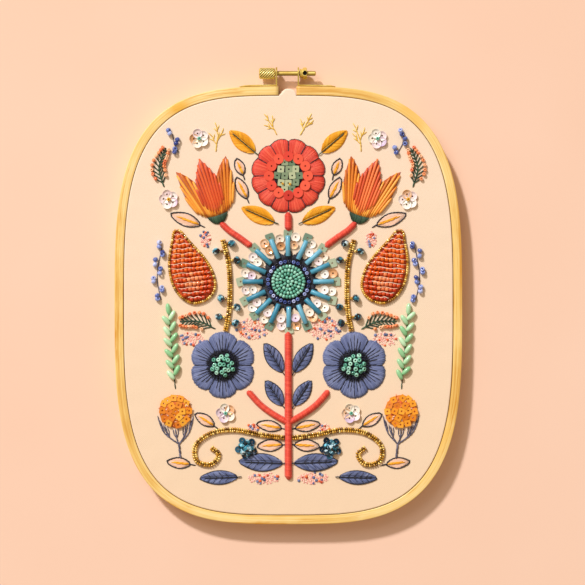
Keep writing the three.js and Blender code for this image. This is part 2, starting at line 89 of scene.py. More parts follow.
class Finish:                           # a material on one Principled shader
    def __init__(self, name, **constants):
        self.material = bpy.data.materials.new(name)
        self.material.use_nodes = True
        self.tree = self.material.node_tree
        self.shader = self.tree.nodes["Principled BSDF"]
        for socket, value in constants.items():
            self.set(socket.replace("_", " "), value)

    def set(self, socket, value):
        self.feed(self.shader.inputs[socket], value)

    def feed(self, socket, value):
        if isinstance(value, Field):
            self.tree.links.new(value.socket, socket)
        else:
            socket.default_value = linear(value) if isinstance(value, str) else value

    def add(self, kind, settings=None, values=None, out=0):
        node = self.tree.nodes.new(kind)
        for key, value in (settings or {}).items():
            if key == "stops":
                ramp = node.color_ramp
                while len(ramp.elements) < len(value):
                    ramp.elements.new(1.0)
                for element, (position, code) in zip(ramp.elements, value):
                    element.position, element.color = position, linear(code)
            else:
                setattr(node, key, value)
        for key, value in (values or {}).items():
            self.feed(node.inputs[key], value)
        return Field(self, node.outputs[out])

    def here(self):                     # the point on the object, in metres
        return self.add("ShaderNodeTexCoord", out="Object")

    def stored(self, name, out="Fac"):  # a value kept on the mesh
        return self.add("ShaderNodeAttribute", {"attribute_name": name}, out=out)

    def noise(self, scale, detail=3, vector=None, roughness=0.5):
        values = {"Scale": scale, "Detail": detail, "Roughness": roughness, "Vector": vector or self.here()}
        return self.add("ShaderNodeTexNoise", values=values)

    def ramp(self, factor, stops):
        return self.add("ShaderNodeValToRGB", {"stops": stops}, {"Fac": factor})

    def scaled(self, vector, shares):
        return self.add("ShaderNodeVectorMath", {"operation": "MULTIPLY"}, {0: vector, 1: shares})

    def blend(self, low, high, factor):     # low and high are colour codes or fields
        return self.add("ShaderNodeMix", {"data_type": "RGBA"}, {0: factor, 6: low, 7: high}, out=2)

    def bump(self, height, strength, distance):
        values = {"Height": height, "Strength": strength, "Distance": distance}
        self.set("Normal", self.add("ShaderNodeBump", values=values))


def beadFinish(name, dark, body, light, metallic=0.0, roughness=0.16, coat=0.6):
    finish = Finish(name, Metallic=metallic, Coat_Weight=coat, Coat_Roughness=0.06)
    tone = finish.stored("tone") * 0.8 + finish.noise(900) * 0.2
    stops = [(0.15, dark), (0.5, body), (0.85, light)]
    finish.set("Base Color", finish.ramp(tone, stops))
    finish.set("Roughness", finish.noise(1500) * 0.12 + (roughness - 0.06))
    return finish.material


def crystalFinish():                    # dark blue glass with painted glints: a cell pattern turns some spots pale cyan and near white
    finish = Finish("crystalBead", Metallic=0.25, Coat_Weight=1.0, Coat_Roughness=0.04)
    glintCellSize = {"Scale": 780, "Vector": finish.here()}
    glintCells = finish.add("ShaderNodeTexVoronoi", {"feature": "F1"}, glintCellSize, out=1)
    glintCells = finish.add("ShaderNodeSeparateXYZ", values={0: glintCells})
    tone = glintCells * 0.85 + finish.stored("tone") * 0.15
    # the two palest stops are painted glints; the darker ones are the glass's own colour
    stops = [
        (0.27, "#030f18"), (0.45, "#0b3548"), (0.62, "#1d7896"), (0.78, "#56bddb"),
        (0.9, "#d8f4ff"),
    ]
    finish.set("Base Color", finish.ramp(tone, stops))
    finish.set("Roughness", finish.noise(1500) * 0.1 + 0.08)
    return finish.material


def threadFinish(name, dark, body, light, sheen=0.25, shine=0.0):
    finish = Finish(name, Sheen_Weight=sheen, Sheen_Roughness=0.4, Coat_Weight=shine, Coat_Roughness=0.3)
    tone = finish.stored("tone") * 0.7 + finish.noise(1400, 4) * 0.3
    stops = [(0.2, dark), (0.5, body), (0.8, light)]
    finish.set("Base Color", finish.ramp(tone, stops))
    finish.set("Roughness", finish.noise(2200) * 0.25 + 0.42)
    finish.bump(finish.noise(5200, 3), 0.35, 0.0001)
    return finish.material


def sequinFinish(name, dark, body, light, roughness=0.3, metallic=0.0):
    finish = Finish(name, Metallic=metallic, Coat_Weight=0.12, Coat_Roughness=0.25)
    tone = finish.stored("tone") * 0.75 + finish.noise(420) * 0.25
    finish.set("Base Color", finish.ramp(tone, [(0.2, dark), (0.5, body), (0.8, light)]))
    finish.set("Roughness", finish.noise(1800) * 0.15 + (roughness - 0.07))
    finish.bump(finish.noise(300, 2), 0.1, 0.0002)
    return finish.material


def pearlFinish():                      # milky sequins that turn from white to peach and lilac
    finish = Finish("pearlSequin", Coat_Weight=0.8, Coat_Roughness=0.05, Thin_Film_Thickness=420.0)
    tone = finish.stored("tone") * 0.7 + finish.noise(260, 1) * 0.3
    stops = [
        (0.12, "#d0905c"), (0.22, "#f6bd90"), (0.32, "#fff0e0"), (0.55, "#fffaf4"),
        (0.74, "#fbe3e6"), (0.88, "#d3bade"),
    ]
    finish.set("Base Color", finish.ramp(tone, stops))
    finish.set("Roughness", finish.noise(1200) * 0.12 + 0.08)
    return finish.material


def clothFinish():                      # plain-woven cream cotton, two threads to the millimetre
    finish = Finish("creamCotton", Sheen_Weight=0.15, Sheen_Roughness=0.6)
    split = finish.add("ShaderNodeSeparateXYZ", values={0: finish.here()})
    across, along = split, Field(finish, split.socket.node.outputs[1])
    weaveTurn = fullTurn / 0.001
    wander = finish.noise(60, 2)
    warp = (across * weaveTurn + wander * 5).math("SINE")
    weft = (along * weaveTurn + wander * 4).math("SINE")
    slub = finish.noise(1300, 4)
    weave = warp * weft * 0.5 + slub * 0.9
    base = finish.blend("#f4ddc6", "#f7e4d1", finish.noise(14, 3))
    # painted shade: the cloth is drawn darker and warmer towards the bottom
    low = finish.blend(base, "#f2d5b5", along * -4.0 + 0.45)
    finish.set("Base Color", finish.blend(low, "#e6c7a4", slub.math("POWER", 3.0) * 0.8))
    finish.set("Roughness", slub * 0.2 + 0.75)
    finish.bump(weave, 0.4, 0.0002)
    return finish.material


def woodFinish():                       # light varnished wood, its grain running round the ring
    finish = Finish("honeyWood", Coat_Weight=0.25, Coat_Roughness=0.25)
    grainAt = finish.stored("grain", "Vector")
    stretched = finish.scaled(grainAt, (0.012, 0.9, 0.9))
    fibres = finish.noise(1.6, 6, stretched, 0.62)
    bands = finish.noise(0.5, 3, stretched)
    pores = finish.noise(9.0, 2, stretched).math("POWER", 4.0)
    patches = finish.noise(0.03, 2, grainAt)
    tone = fibres * 0.65 + bands * 0.45 - pores * 0.5 + patches * 0.5 - 0.25
    stops = [(0.3, "#d99e40"), (0.47, "#f1c974"), (0.62, "#fbdf9c"), (0.8, "#ffefc2")]
    streaks = (finish.noise(1.0, 4, finish.scaled(grainAt, (0.03, 0.55, 0.55)), 0.7) - 0.56) * 7
    golden = finish.blend(finish.ramp(tone, stops), "#f0b848", (patches - 0.57) * 5)
    finish.set("Base Color", finish.blend(golden, "#d9962c", streaks))
    finish.set("Roughness", fibres * 0.2 + 0.3)
    finish.bump(fibres - pores * 0.8, 0.18, 0.0003)
    return finish.material


def brassFinish():                      # painted shade and highlight: drawn dark where its stored tone is low, in grooves, and bright where the tone is high, on knurl crests and along the rod's top
    finish = Finish("brightBrass", Metallic=0.62, Coat_Weight=0.4, Coat_Roughness=0.1)
    smear = finish.noise(120, 4)
    stops = [(0.35, "#d4b248"), (0.55, "#eed674"), (0.75, "#fbeeb0")]
    clean = finish.ramp(smear, stops)
    tone = finish.stored("tone")
    # painted shade: low tones blend towards dark brown; painted highlight: tones above one half blend towards
    # pale yellow
    paintedGrooveShade = finish.blend("#57400a", clean, tone * 2)
    finish.set("Base Color", finish.blend(paintedGrooveShade, "#fff6b4", tone * 2 - 1))
    finish.set("Roughness", finish.noise(300, 3) * 0.12 + 0.36)
    return finish.material


def holeShadeFinish():                      # painted shade: a near-black finish for the inside of the small hole in the nut
    finish = Finish("paintedHoleShade", Metallic=0.4, Roughness=0.7)
    finish.set("Base Color", finish.blend("#0c0905", "#1d1509", finish.noise(900)))
    return finish.material


cottonMaterial = clothFinish()
woodMaterial = woodFinish()
brassMaterial = brassFinish()
holeShadeMaterial = holeShadeFinish()
pearlMaterial = pearlFinish()
mintBead = beadFinish("mintBead", "#2f846c", "#74c2aa", "#b4e8d4", roughness=0.34, coat=0.3)
navyBead = beadFinish("navyBead", "#0d1228", "#1c2750", "#35437f", roughness=0.16)
violetBead = beadFinish("violetBead", "#34458e", "#788cd2", "#c2ccf8", roughness=0.2)
blueBugle = beadFinish("blueBugle", "#2f83a2", "#4a9cba", "#6cb2ce", roughness=0.42, coat=0.12)
orangeBead = beadFinish("orangeBead", "#c03004", "#e65a06", "#fa922a", roughness=0.3, coat=0.25)
peachBead = beadFinish("peachBead", "#e87444", "#f99a60", "#ffc89c", roughness=0.24, coat=0.4)
yellowBead = beadFinish("yellowBead", "#c98708", "#eeb01c", "#fbd552", roughness=0.24)
goldBead = beadFinish("goldBead", "#835406", "#d69c28", "#ffde82", metallic=0.3, roughness=0.22, coat=0.5)
crystalBead = crystalFinish()
mintRice = beadFinish("mintRice", "#8ecb94", "#aedcae", "#c6ecc2", roughness=0.3, coat=0.3)
sageSequin = sequinFinish("sageSequin", "#6a8468", "#94a482", "#b8c29c", roughness=0.34)
tealSequin = sequinFinish("tealSequin", "#74907e", "#92aa92", "#b8c4a8", roughness=0.3)
redSequin = sequinFinish("redSequin", "#cc2c1c", "#e6402a", "#f25a3c", roughness=0.6)
amberSequin = sequinFinish("amberSequin", "#d87404", "#f0940e", "#fab032", roughness=0.5)
navySequin = sequinFinish("navySequin", "#0c2238", "#174260", "#3f7c9c", roughness=0.16, metallic=0.3)
coralThread = threadFinish("coralThread", "#c22c1e", "#e2442f", "#f56a4c")
orangeThread = threadFinish("orangeThread", "#b85204", "#ec880e", "#ffb848", sheen=0.2, shine=0.35)
flameThread = threadFinish("flameThread", "#b83610", "#e2561a", "#f88440", sheen=0.2, shine=0.3)
slateThread = threadFinish("slateThread", "#4a5680", "#65719f", "#8690b8", sheen=0.15)
ochreThread = threadFinish("ochreThread", "#df9404", "#f7aa0c", "#fec030", sheen=0.1)
greenThread = threadFinish("greenThread", "#14291c", "#24452f", "#416348", sheen=0.1)
inkThread = threadFinish("inkThread", "#0d0d16", "#1b1c2a", "#343648", sheen=0.05)
greyThread = threadFinish("greyThread", "#403d4e", "#5a566a", "#7b778c", sheen=0.05)
pinkThread = threadFinish("pinkThread", "#f7a89c", "#fabcb0", "#fdd6cc", sheen=0.1)
blushThread = threadFinish("blushThread", "#eebd9f", "#f4cbb2", "#f9dac6", sheen=0.1)
lemonThread = threadFinish("lemonThread", "#e0b02c", "#ecc34a", "#f5d874", sheen=0.1)
paleThread = threadFinish("paleThread", "#f0ae88", "#f8c8a8", "#ffe2cc", sheen=0.1)
brownThread = threadFinish("brownThread", "#38220a", "#573813", "#775324", sheen=0.05)
navyFuzz = threadFinish("navyFuzz", "#07080f", "#141627", "#2f3252", sheen=0.12)
print("materials made")


# Mesh tools

def shifted(shape, at=(0, 0, 0), yaw=0.0, pitch=0.0, roll=0.0, size=1.0):
    points, faces = shape               # rolled about +X, then its nose lifted, then turned about +Z
    cr, sr = math.cos(roll), math.sin(roll)
    cp, sp = math.cos(pitch), math.sin(pitch)
    cy, sy = math.cos(yaw), math.sin(yaw)
    rolled = np.array([[1, 0, 0], [0, cr, -sr], [0, sr, cr]])
    lifted = np.array([[cp, 0, -sp], [0, 1, 0], [sp, 0, cp]])
    turned = np.array([[cy, -sy, 0], [sy, cy, 0], [0, 0, 1]])
    return (np.asarray(points) * size) @ (turned @ lifted @ rolled).T + np.asarray(at, float), faces


def gridFaces(rows, columns, closedRows=False):      # quads between rings of points
    i = np.arange(rows if closedRows else rows - 1)[:, None]
    j = np.arange(columns)[None, :]
    here, right = i * columns + j, i * columns + (j + 1) % columns
    below = ((i + 1) % rows) * columns
    return np.stack([here, right, below + (j + 1) % columns, below + j], -1).reshape(-1, 4)


def capped(points, rows, columns):      # a tube of rings closed by a fan on each end
    first, last = points[0].mean(0), points[-1].mean(0)
    flat = points.reshape(-1, 3)
    j = np.arange(columns)
    after = (j + 1) % columns
    lastRing = (rows - 1) * columns
    start = np.stack([np.full(columns, len(flat)), after, j], -1)
    end = np.stack([np.full(columns, len(flat) + 1), lastRing + j, lastRing + after], -1)
    return np.vstack([flat, first, last]), [gridFaces(rows, columns), start, end]


def turned(profile, sides):             # (x, radius) steps turned about +X; off the axis, it closes on itself
    profile = np.asarray(profile, float)
    angles = np.arange(sides) * fullTurn / sides
    rings = np.zeros((len(profile), sides, 3))
    rings[..., 0] = profile[:, :1]
    rings[..., 1] = profile[:, 1:] * np.cos(angles)
    rings[..., 2] = profile[:, 1:] * np.sin(angles)
    if profile[0, 1] > 0:
        return rings.reshape(-1, 3), [gridFaces(len(profile), sides, closedRows=True)]
    shape = capped(rings[1:-1], len(profile) - 2, sides)
    shape[0][-2:] = rings[0, 0], rings[-1, 0]
    return shape


def cord(path, width, height, sides=6): # a closed tube of oval section along a path
    path = np.asarray(path, float)
    along = np.gradient(path, axis=0)
    side = np.stack([-along[:, 1], along[:, 0], np.zeros(len(path))], -1)
    side /= np.maximum(np.linalg.norm(side, axis=1, keepdims=True), 1e-9)
    up = np.cross(along, side)
    up /= np.maximum(np.linalg.norm(up, axis=1, keepdims=True), 1e-9)
    angles = np.arange(sides) * fullTurn / sides
    width, height = (np.broadcast_to(v, len(path))[:, None, None] / 2 for v in (width, height))
    rings = path[:, None] + side[:, None] * np.cos(angles)[:, None] * width
    rings = rings + up[:, None] * np.sin(angles)[:, None] * height
    return capped(rings, len(path), sides)


def pierced(outer, inner, thickness, dish=0.0):   # a flat piece with a hole: two outlines with as many points
    n = len(outer)
    low = np.hstack([outer, np.full((n, 1), dish)])
    hole = np.hstack([inner, np.zeros((n, 1))])
    lift = np.array([0, 0, thickness])
    return np.vstack([hole, low, low + lift, hole + lift]), [gridFaces(4, n, closedRows=True)]


def heading(turn):                      # one step outwards at an angle
    return np.array([math.cos(turn), math.sin(turn)])


def around(middle, radius, turn, high):
    return (middle[0] + radius * math.cos(turn), middle[1] + radius * math.sin(turn), high)


def circle(radius, count):
    angles = np.arange(count) * fullTurn / count
    return np.stack([radius * np.cos(angles), radius * np.sin(angles)], -1)


def isAnticlockwise(outline):
    after = np.roll(outline, -1, axis=0)
    return (after[:, 0] * outline[:, 1] - outline[:, 0] * after[:, 1]).sum() < 0


def pad(outline, low, high, inset=0.25):          # a flat fill with a slightly sloping edge
    n = len(outline)
    middle = outline.mean(0)
    toMiddle = outline - middle
    reach = np.linalg.norm(toMiddle, axis=1, keepdims=True)
    top = middle + toMiddle * (1 - inset / np.maximum(reach, 1e-6))
    lower, upper = np.full((n, 1), low), np.full((n, 1), high)
    points = np.vstack([np.hstack([outline, lower]), np.hstack([top, upper])])
    lid = np.array(tessellate_polygon([[Vector((x, y, 0)) for x, y in outline]]))
    a, b, c = (outline[lid[:, k]] for k in range(3))
    spun = (b[:, 0] - a[:, 0]) * (c[:, 1] - a[:, 1]) - (b[:, 1] - a[:, 1]) * (c[:, 0] - a[:, 0]) < 0
    lid[spun] = lid[spun][:, ::-1]
    j = np.arange(n)
    wall = np.stack([j, (j + 1) % n, n + (j + 1) % n, n + j], -1)
    return points, [wall if isAnticlockwise(outline) else wall[:, ::-1], lid + n, lid[:, ::-1]]


def placeIn(name, data):                # a new object in the scene
    item = bpy.data.objects.new(name, data)
    bpy.context.scene.collection.objects.link(item)
    return item


class Heap:                             # many small closed shapes that become one mesh
    def __init__(self):
        self.points, self.faces, self.tones, self.count = [], [], [], 0

    def add(self, shape, tone=0.5):
        points, faces = shape
        self.points.append(points)
        self.faces += [f + self.count for f in faces]
        self.tones.append(np.full(len(points), tone))
        self.count += len(points)

    def build(self, name, material, flat=False):
        points = toRow(np.vstack(self.points))
        loops = np.concatenate([f.ravel() for f in self.faces])
        sizes = np.concatenate([np.full(len(f), f.shape[1]) for f in self.faces])
        mesh = bpy.data.meshes.new(name)
        mesh.vertices.add(len(points))
        mesh.vertices.foreach_set("co", points.ravel())
        mesh.loops.add(len(loops))
        mesh.loops.foreach_set("vertex_index", loops)
        mesh.polygons.add(len(sizes))
        mesh.polygons.foreach_set("loop_start", np.cumsum(sizes) - sizes)
        mesh.update(calc_edges=True)
        tone = mesh.attributes.new("tone", "FLOAT", "POINT")
        tone.data.foreach_set("value", np.concatenate(self.tones))
        if flat:
            mesh.shade_flat()
        mesh.materials.append(material)
        return placeIn(name, mesh)

    def sew(self, name, material, slot, *nodes, flat=False):
        return settle(self.build(name, material, flat), slot, *nodes)


def settle(piece, slot, *nodes, body="root"):
    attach(piece, body)
    if nodes:
        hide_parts(*nodes)
    return piece


def sharpen(piece, width=0.00012, angle=40):      # small rounded edges on a hard piece
    edges = piece.modifiers.new("edges", "BEVEL")
    edges.width, edges.segments, edges.angle_limit = width, 2, math.radians(angle)
    piece.data.shade_flat()
    return piece


# Curves and outlines

def resampled(points, spacing):
    points = np.asarray(points, float)
    run = np.concatenate([[0], np.cumsum(np.linalg.norm(np.diff(points, axis=0), axis=1))])
    count = max(2, int(round(run[-1] / spacing)) + 1)
    at = np.linspace(0, run[-1], count)
    return np.stack([np.interp(at, run, points[:, k]) for k in range(points.shape[1])], -1)


def route(points, spacing):             # a smooth line through points, evenly stepped
    p = np.asarray(points, float)
    p = np.vstack([2 * p[0] - p[1], p, 2 * p[-1] - p[-2]])
    t = np.linspace(0, 1, 25)[:, None]
    pieces = []
    for i in range(1, len(p) - 2):
        before, here, after = (np.linalg.norm(p[k + 1] - p[k]) ** 0.5 for k in (i - 1, i, i + 1))
        leave = (p[i] - p[i - 1]) / before - (p[i + 1] - p[i - 1]) / (before + here)
        leave = (leave + (p[i + 1] - p[i]) / here) * here
        reach = (p[i + 1] - p[i]) / here - (p[i + 2] - p[i]) / (here + after)
        reach = (reach + (p[i + 2] - p[i + 1]) / after) * here
        cubic = 2 * p[i] - 2 * p[i + 1] + leave + reach
        square = -3 * p[i] + 3 * p[i + 1] - 2 * leave - reach
        pieces.append(p[i] + leave * t + square * t ** 2 + cubic * t ** 3)
    return resampled(np.vstack(pieces), spacing)


def bezierOutline(start, curves, steps=12):       # an outline of cubic curves, each (control, control, end)
    points, here = [np.array(start, float)], np.array(start, float)
    t = np.linspace(0, 1, steps + 1)[1:, None]
    for one, two, end in (np.array(c, float) for c in curves):
        near = here * (1 - t) ** 3 + 3 * one * t * (1 - t) ** 2
        points += list(near + 3 * two * t ** 2 * (1 - t) + end * t ** 3)
        here = end
    return np.array(points[:-1])


def rosette(petals, radius, notch, steps=16):     # the outline of a round flower with rounded lobes
    angles = np.arange(petals * steps) * fullTurn / (petals * steps)
    lobe = np.abs(np.sin(angles * petals / 2))
    reach = radius - notch * (1 - np.sqrt(lobe))
    return np.stack([reach * np.cos(angles), reach * np.sin(angles)], -1)


# Points on each side of a leaf, half the width of its ends, and how far along it is widest
leafShape = {"steps": 14, "blunt": 0.5, "swellAt": 0.45}


def leafOutline(length, width):
    t = np.linspace(0, 1, leafShape["steps"])[:, None]
    sides = []
    for sign in (-1, 1):
        start = [0, sign * leafShape["blunt"]]
        swell = [length * leafShape["swellAt"], sign * width]
        tip = [length, sign * leafShape["blunt"]]
        sides.append((1 - t) ** 2 * start + 2 * t * (1 - t) * swell + t ** 2 * tip)
    return np.vstack([sides[0], sides[1][::-1]])


def turnedFlat(points, angle, at=(0, 0)):
    c, s = math.cos(angle), math.sin(angle)
    return np.asarray(points, float) @ np.array([[c, s], [-s, c]]) + np.asarray(at, float)


def chords(outline, angle, pitch):      # the stretches inside an outline, a pitch apart, along a direction
    flat = turnedFlat(outline, -angle)
    after = np.roll(flat, -1, axis=0)
    found = []
    for y in np.arange(flat[:, 1].min() + pitch / 2, flat[:, 1].max(), pitch):
        crosses = (flat[:, 1] - y) * (after[:, 1] - y) < 0
        a, b = flat[crosses], after[crosses]
        x = np.sort(a[:, 0] + (y - a[:, 1]) * (b[:, 0] - a[:, 0]) / (b[:, 1] - a[:, 1]))
        for k in range(0, len(x) - 1, 2):
            found.append(turnedFlat([[x[k], y], [x[k + 1], y]], angle))
    return found


def stitch(heap, start, end, width, height, lift, tone, base=clothTop, steps=6, sides=6):
    t = np.linspace(0, 1, steps)        # one thread that rises out of the cloth and dives back
    flat = np.outer(1 - t, start) + np.outer(t, end)
    rise = base + height * 0.3 + lift * np.sin(math.pi * t) ** 0.6
    rise[[0, -1]] = base - 0.12
    wide = width * np.minimum(1, 0.65 + 1.6 * np.minimum(t, 1 - t))
    heap.add(cord(np.column_stack([flat, rise]), wide, height, sides), tone)


def satin(heap, outline, angle, pitch, draw, lift=0.35, height=0.3, base=clothTop, overlap=1.25, ragged=0.12):
    for start, end in chords(outline, angle, pitch):    # side by side stitches with slightly ragged ends
        span = end - start
        length = np.linalg.norm(span)
        if length < 0.5:
            continue
        slack = span / length * ragged
        start = start - slack * draw.uniform(-1, 1.4)
        end = end + slack * draw.uniform(-1, 1.4)
        rise = lift * min(1, length / 4)
        stitch(heap, start, end, pitch * overlap, height, rise, draw.uniform(0.15, 0.85), base)


def stemLine(heap, points, width, draw, base=clothTop, stride=2.6):
    line = resampled(points, stride)    # stem stitch: short slanting stitches that overlap
    for a, b in zip(line[:-1], line[1:]):
        side = np.array([a[1] - b[1], b[0] - a[0]]) / max(np.linalg.norm(b - a), 1e-6) * width * 0.14
        stitch(heap, a - side - (b - a) * 0.12, b + side + (b - a) * 0.12, width, width * 0.8, 0.08,
               draw.uniform(0.2, 0.8), base, steps=5, sides=5)


def wrapped(heap, line, width, height, pitch, draw):
    line = resampled(line, pitch)       # close stitches laid over a padded stem
    along = np.gradient(line, axis=0)
    along /= np.linalg.norm(along, axis=1, keepdims=True)
    turn = np.linspace(-1, 1, 7)
    toEnd = np.minimum(np.arange(len(line)), np.arange(len(line))[::-1]) * pitch
    for point, ahead, left in zip(line, along, toEnd):
        side = np.array([-ahead[1], ahead[0]])
        full = math.sqrt(min(1, (left + 0.25) / (width * 0.45)))
        slant = ahead * pitch * 0.8 * full
        flat = point + np.outer(turn * width / 2 * full, side) + np.outer(turn, slant)
        rise = clothTop - 0.1 + height * full * np.sqrt(np.maximum(0, 1 - turn ** 2))
        heap.add(cord(np.column_stack([flat, rise]), pitch * 1.4, pitch * 0.7, 5), draw.uniform(0.3, 0.7))


# Bead and sequin shapes, each along +X or flat on the cloth

def seedBead(radius, length, sides=12, hole=0.36):
    x, r = length / 2, radius
    return turned([
        (-x, r * 0.62), (-x * 0.8, r * 0.88), (-x * 0.3, r), (x * 0.3, r), (x * 0.8, r * 0.88), (x, r * 0.62),
        (x * 0.85, r * hole), (-x * 0.85, r * hole),
    ], sides)


def crystal(radius, length, sides=9):   # a faceted bead
    x, r = length / 2, radius
    return turned([
        (-x, r * 0.42), (-x * 0.62, r * 0.82), (-x * 0.2, r), (x * 0.2, r), (x * 0.62, r * 0.82),
        (x, r * 0.42), (x * 0.9, r * 0.16), (-x * 0.9, r * 0.16),
    ], sides)


def cupSequin(radius=2.5, depth=0.65, sides=18):
    shape = turned([
        (0, 0.45), (0.02, radius * 0.6), (depth, radius), (depth + 0.1, radius * 0.98),
        (0.14, radius * 0.57), (0.12, 0.45),
    ], sides)
    return shifted(shape, pitch=math.pi / 2)


def squareSequin(size, thickness=0.25, dish=0.04, hole=0.48, sides=24, squareness=14):
    angles = np.arange(sides) * fullTurn / sides
    across, up = np.abs(np.cos(angles)), np.abs(np.sin(angles))
    reach = size / 2 * (across ** squareness + up ** squareness) ** (-1 / squareness)
    outer = np.stack([reach * np.cos(angles), reach * np.sin(angles)], -1)
    return pierced(outer, circle(hole, sides), thickness, dish)


def roundSequin(radius, thickness=0.15, dish=0.02, hole=0.42):
    return pierced(circle(radius, 18), circle(hole, 18), thickness, dish)


def riceBead(length, radius, sides=12):
    t = np.linspace(0, math.pi, 9)
    profile = [(-math.cos(a) * length / 2, radius * math.sin(a) ** 0.8) for a in t[1:-1]]
    return turned([(-length / 2, 0), *profile, (length / 2, 0)], sides)


roundSeed = seedBead(1.0, 1.45)
smallSeed = seedBead(0.75, 1.05, 10)
tinySeed = seedBead(0.62, 0.9, 8)
stringSeed = seedBead(0.7, 0.95, 10)
knotProfile = [(-0.1, 0), (-0.1, 0.4), (0.02, 0.42), (0.1, 0.3), (0.13, 0)]
# a real holding stitch, and its dark brown thread also fills in as painted shade inside each cup sequin's
# hole
holdingKnot = shifted(turned(knotProfile, 7), pitch=math.pi / 2)       # keeps a cup sequin on the cloth


def strung(heap, line, bead, height, draw, offset=0.0, wobble=0.12):
    along = np.gradient(line, axis=0)   # beads threaded one after another along a line
    for (x, y), (dx, dy) in zip(line, along):
        yaw = math.atan2(dy, dx)
        x, y = x - math.sin(yaw) * offset, y + math.cos(yaw) * offset
        heap.add(shifted(bead, (x, y, height), yaw + draw.normal(0, wobble), draw.normal(0, wobble * 0.6),
                         draw.uniform(0, fullTurn)), draw.uniform(0, 1))


# Hoop and cloth

def hoopLine(angles, offset):
    n = hoop["squareness"]
    across, up = np.cos(angles) / hoop["halfWidth"], np.sin(angles) / hoop["halfHeight"]
    reach = (np.abs(across) ** n + np.abs(up) ** n) ** (-1 / n)
    normal = np.stack([
        np.sign(across) * np.abs(across * reach) ** (n - 1) / hoop["halfWidth"],
        np.sign(up) * np.abs(up * reach) ** (n - 1) / hoop["halfHeight"],
    ], -1)
    normal /= np.linalg.norm(normal, axis=-1, keepdims=True)
    base = np.stack([np.cos(angles), np.sin(angles)], -1) * reach[..., None]
    return base + normal * np.asarray(offset)[..., None]


def roundedSection(low, high, bottom, top, corner, steps=4):
    section = []
    for x, y, start in ((high, top, 0), (low, top, 90), (low, bottom, 180), (high, bottom, 270)):
        cx = x - corner if x == high else x + corner
        cy = y - corner if y == top else y + corner
        for k in range(steps + 1):
            turn = math.radians(start + 90 * k / steps)
            section.append((cx + corner * math.cos(turn), cy + corner * math.sin(turn)))
    return np.array(section)            # anticlockwise in (offset, z)


def swept(section, angles, fixed=0.0, share=1.0):      # a section along the hoop, drawn in to one offset
    rings = []
    for offset, z in section:
        line = hoopLine(angles, fixed + (offset - fixed) * share)
        rings.append(np.column_stack([line, np.full(len(angles), z)]))
    return np.transpose(np.array(rings), (1, 0, 2))


def ringPiece(name, section, angles, closed, material):
    rings = swept(section, angles)
    rows, columns = rings.shape[:2]
    heap = Heap()
    if closed:
        heap.add((rings.reshape(-1, 3), [gridFaces(rows, columns, closedRows=True)[:, ::-1]]))
    else:
        points, faces = capped(rings, rows, columns)
        heap.add((points, [f[:, ::-1] for f in faces]))
    piece = heap.build(name, material)
    run = np.linalg.norm(np.diff(rings[:, 0, :2], axis=0), axis=1).cumsum()
    grain = np.zeros((heap.count, 3))
    grain[:rows * columns, 0] = np.repeat(np.concatenate([[0], run]), columns)
    grain[:rows * columns, 1:] = np.tile(section, (rows, 1))
    stored = piece.data.attributes.new("grain", "FLOAT_VECTOR", "POINT")
    stored.data.foreach_set("vector", grain.ravel())
    return piece


halfSplit = hoop["splitWidth"] / 2
leftEnd = math.atan2(hoop["halfHeight"], hoop["splitCentre"] - halfSplit)
rightEnd = math.atan2(hoop["halfHeight"], hoop["splitCentre"] + halfSplit) + fullTurn
outerRing = ringPiece(
    "outerRing", roundedSection(-hoop["outerThickness"], 0, 0, hoop["height"], hoop["outerCorner"]),
    np.linspace(leftEnd, rightEnd, hoop["outerSteps"]), False, woodMaterial,
)
settle(outerRing, "wood", "outer_ring")
innerLow = hoop["innerEdge"] - hoop["innerThickness"]
innerRing = ringPiece(
    "innerRing", roundedSection(innerLow, hoop["innerEdge"], 0, hoop["innerTop"], hoop["innerCorner"]),
    np.linspace(0, fullTurn, hoop["innerSteps"], endpoint=False), True, woodMaterial,
)
settle(innerRing, "wood", "inner_ring")

clothFacts = {
    "edge": -4.8, "thickness": 1.0, "hem": 0.6, "flatFrom": -21, "pull": 0.05, "tuck": 3.6,
    "tuckFade": 2.6, "tuckDrop": 5.0, "tuckRise": (1.05, 0.45), "tuckFall": (0.9, 0.32),
    "brinkFrom": 3.9, "brinkSlant": 2.8, "brinkReach": 2.6, "brinkWidth": 1.5,
}


def tuckShape(x):                       # how far the cloth bulges into the split of the outer ring
    u = (x - hoop["splitCentre"]) / (halfSplit - 0.3)
    riseWidth, riseCurve = clothFacts["tuckRise"]
    fallWidth, fallCurve = clothFacts["tuckFall"]
    rise = np.clip((u + 1) / riseWidth, 0, 1)
    fall = np.clip((1 - u) / fallWidth, 0, 1)
    bump = np.sin(rise * math.pi / 2) ** riseCurve * np.sin(fall * math.pi / 2) ** fallCurve
    return np.where(np.abs(u) < 1, bump * clothFacts["tuck"], 0)


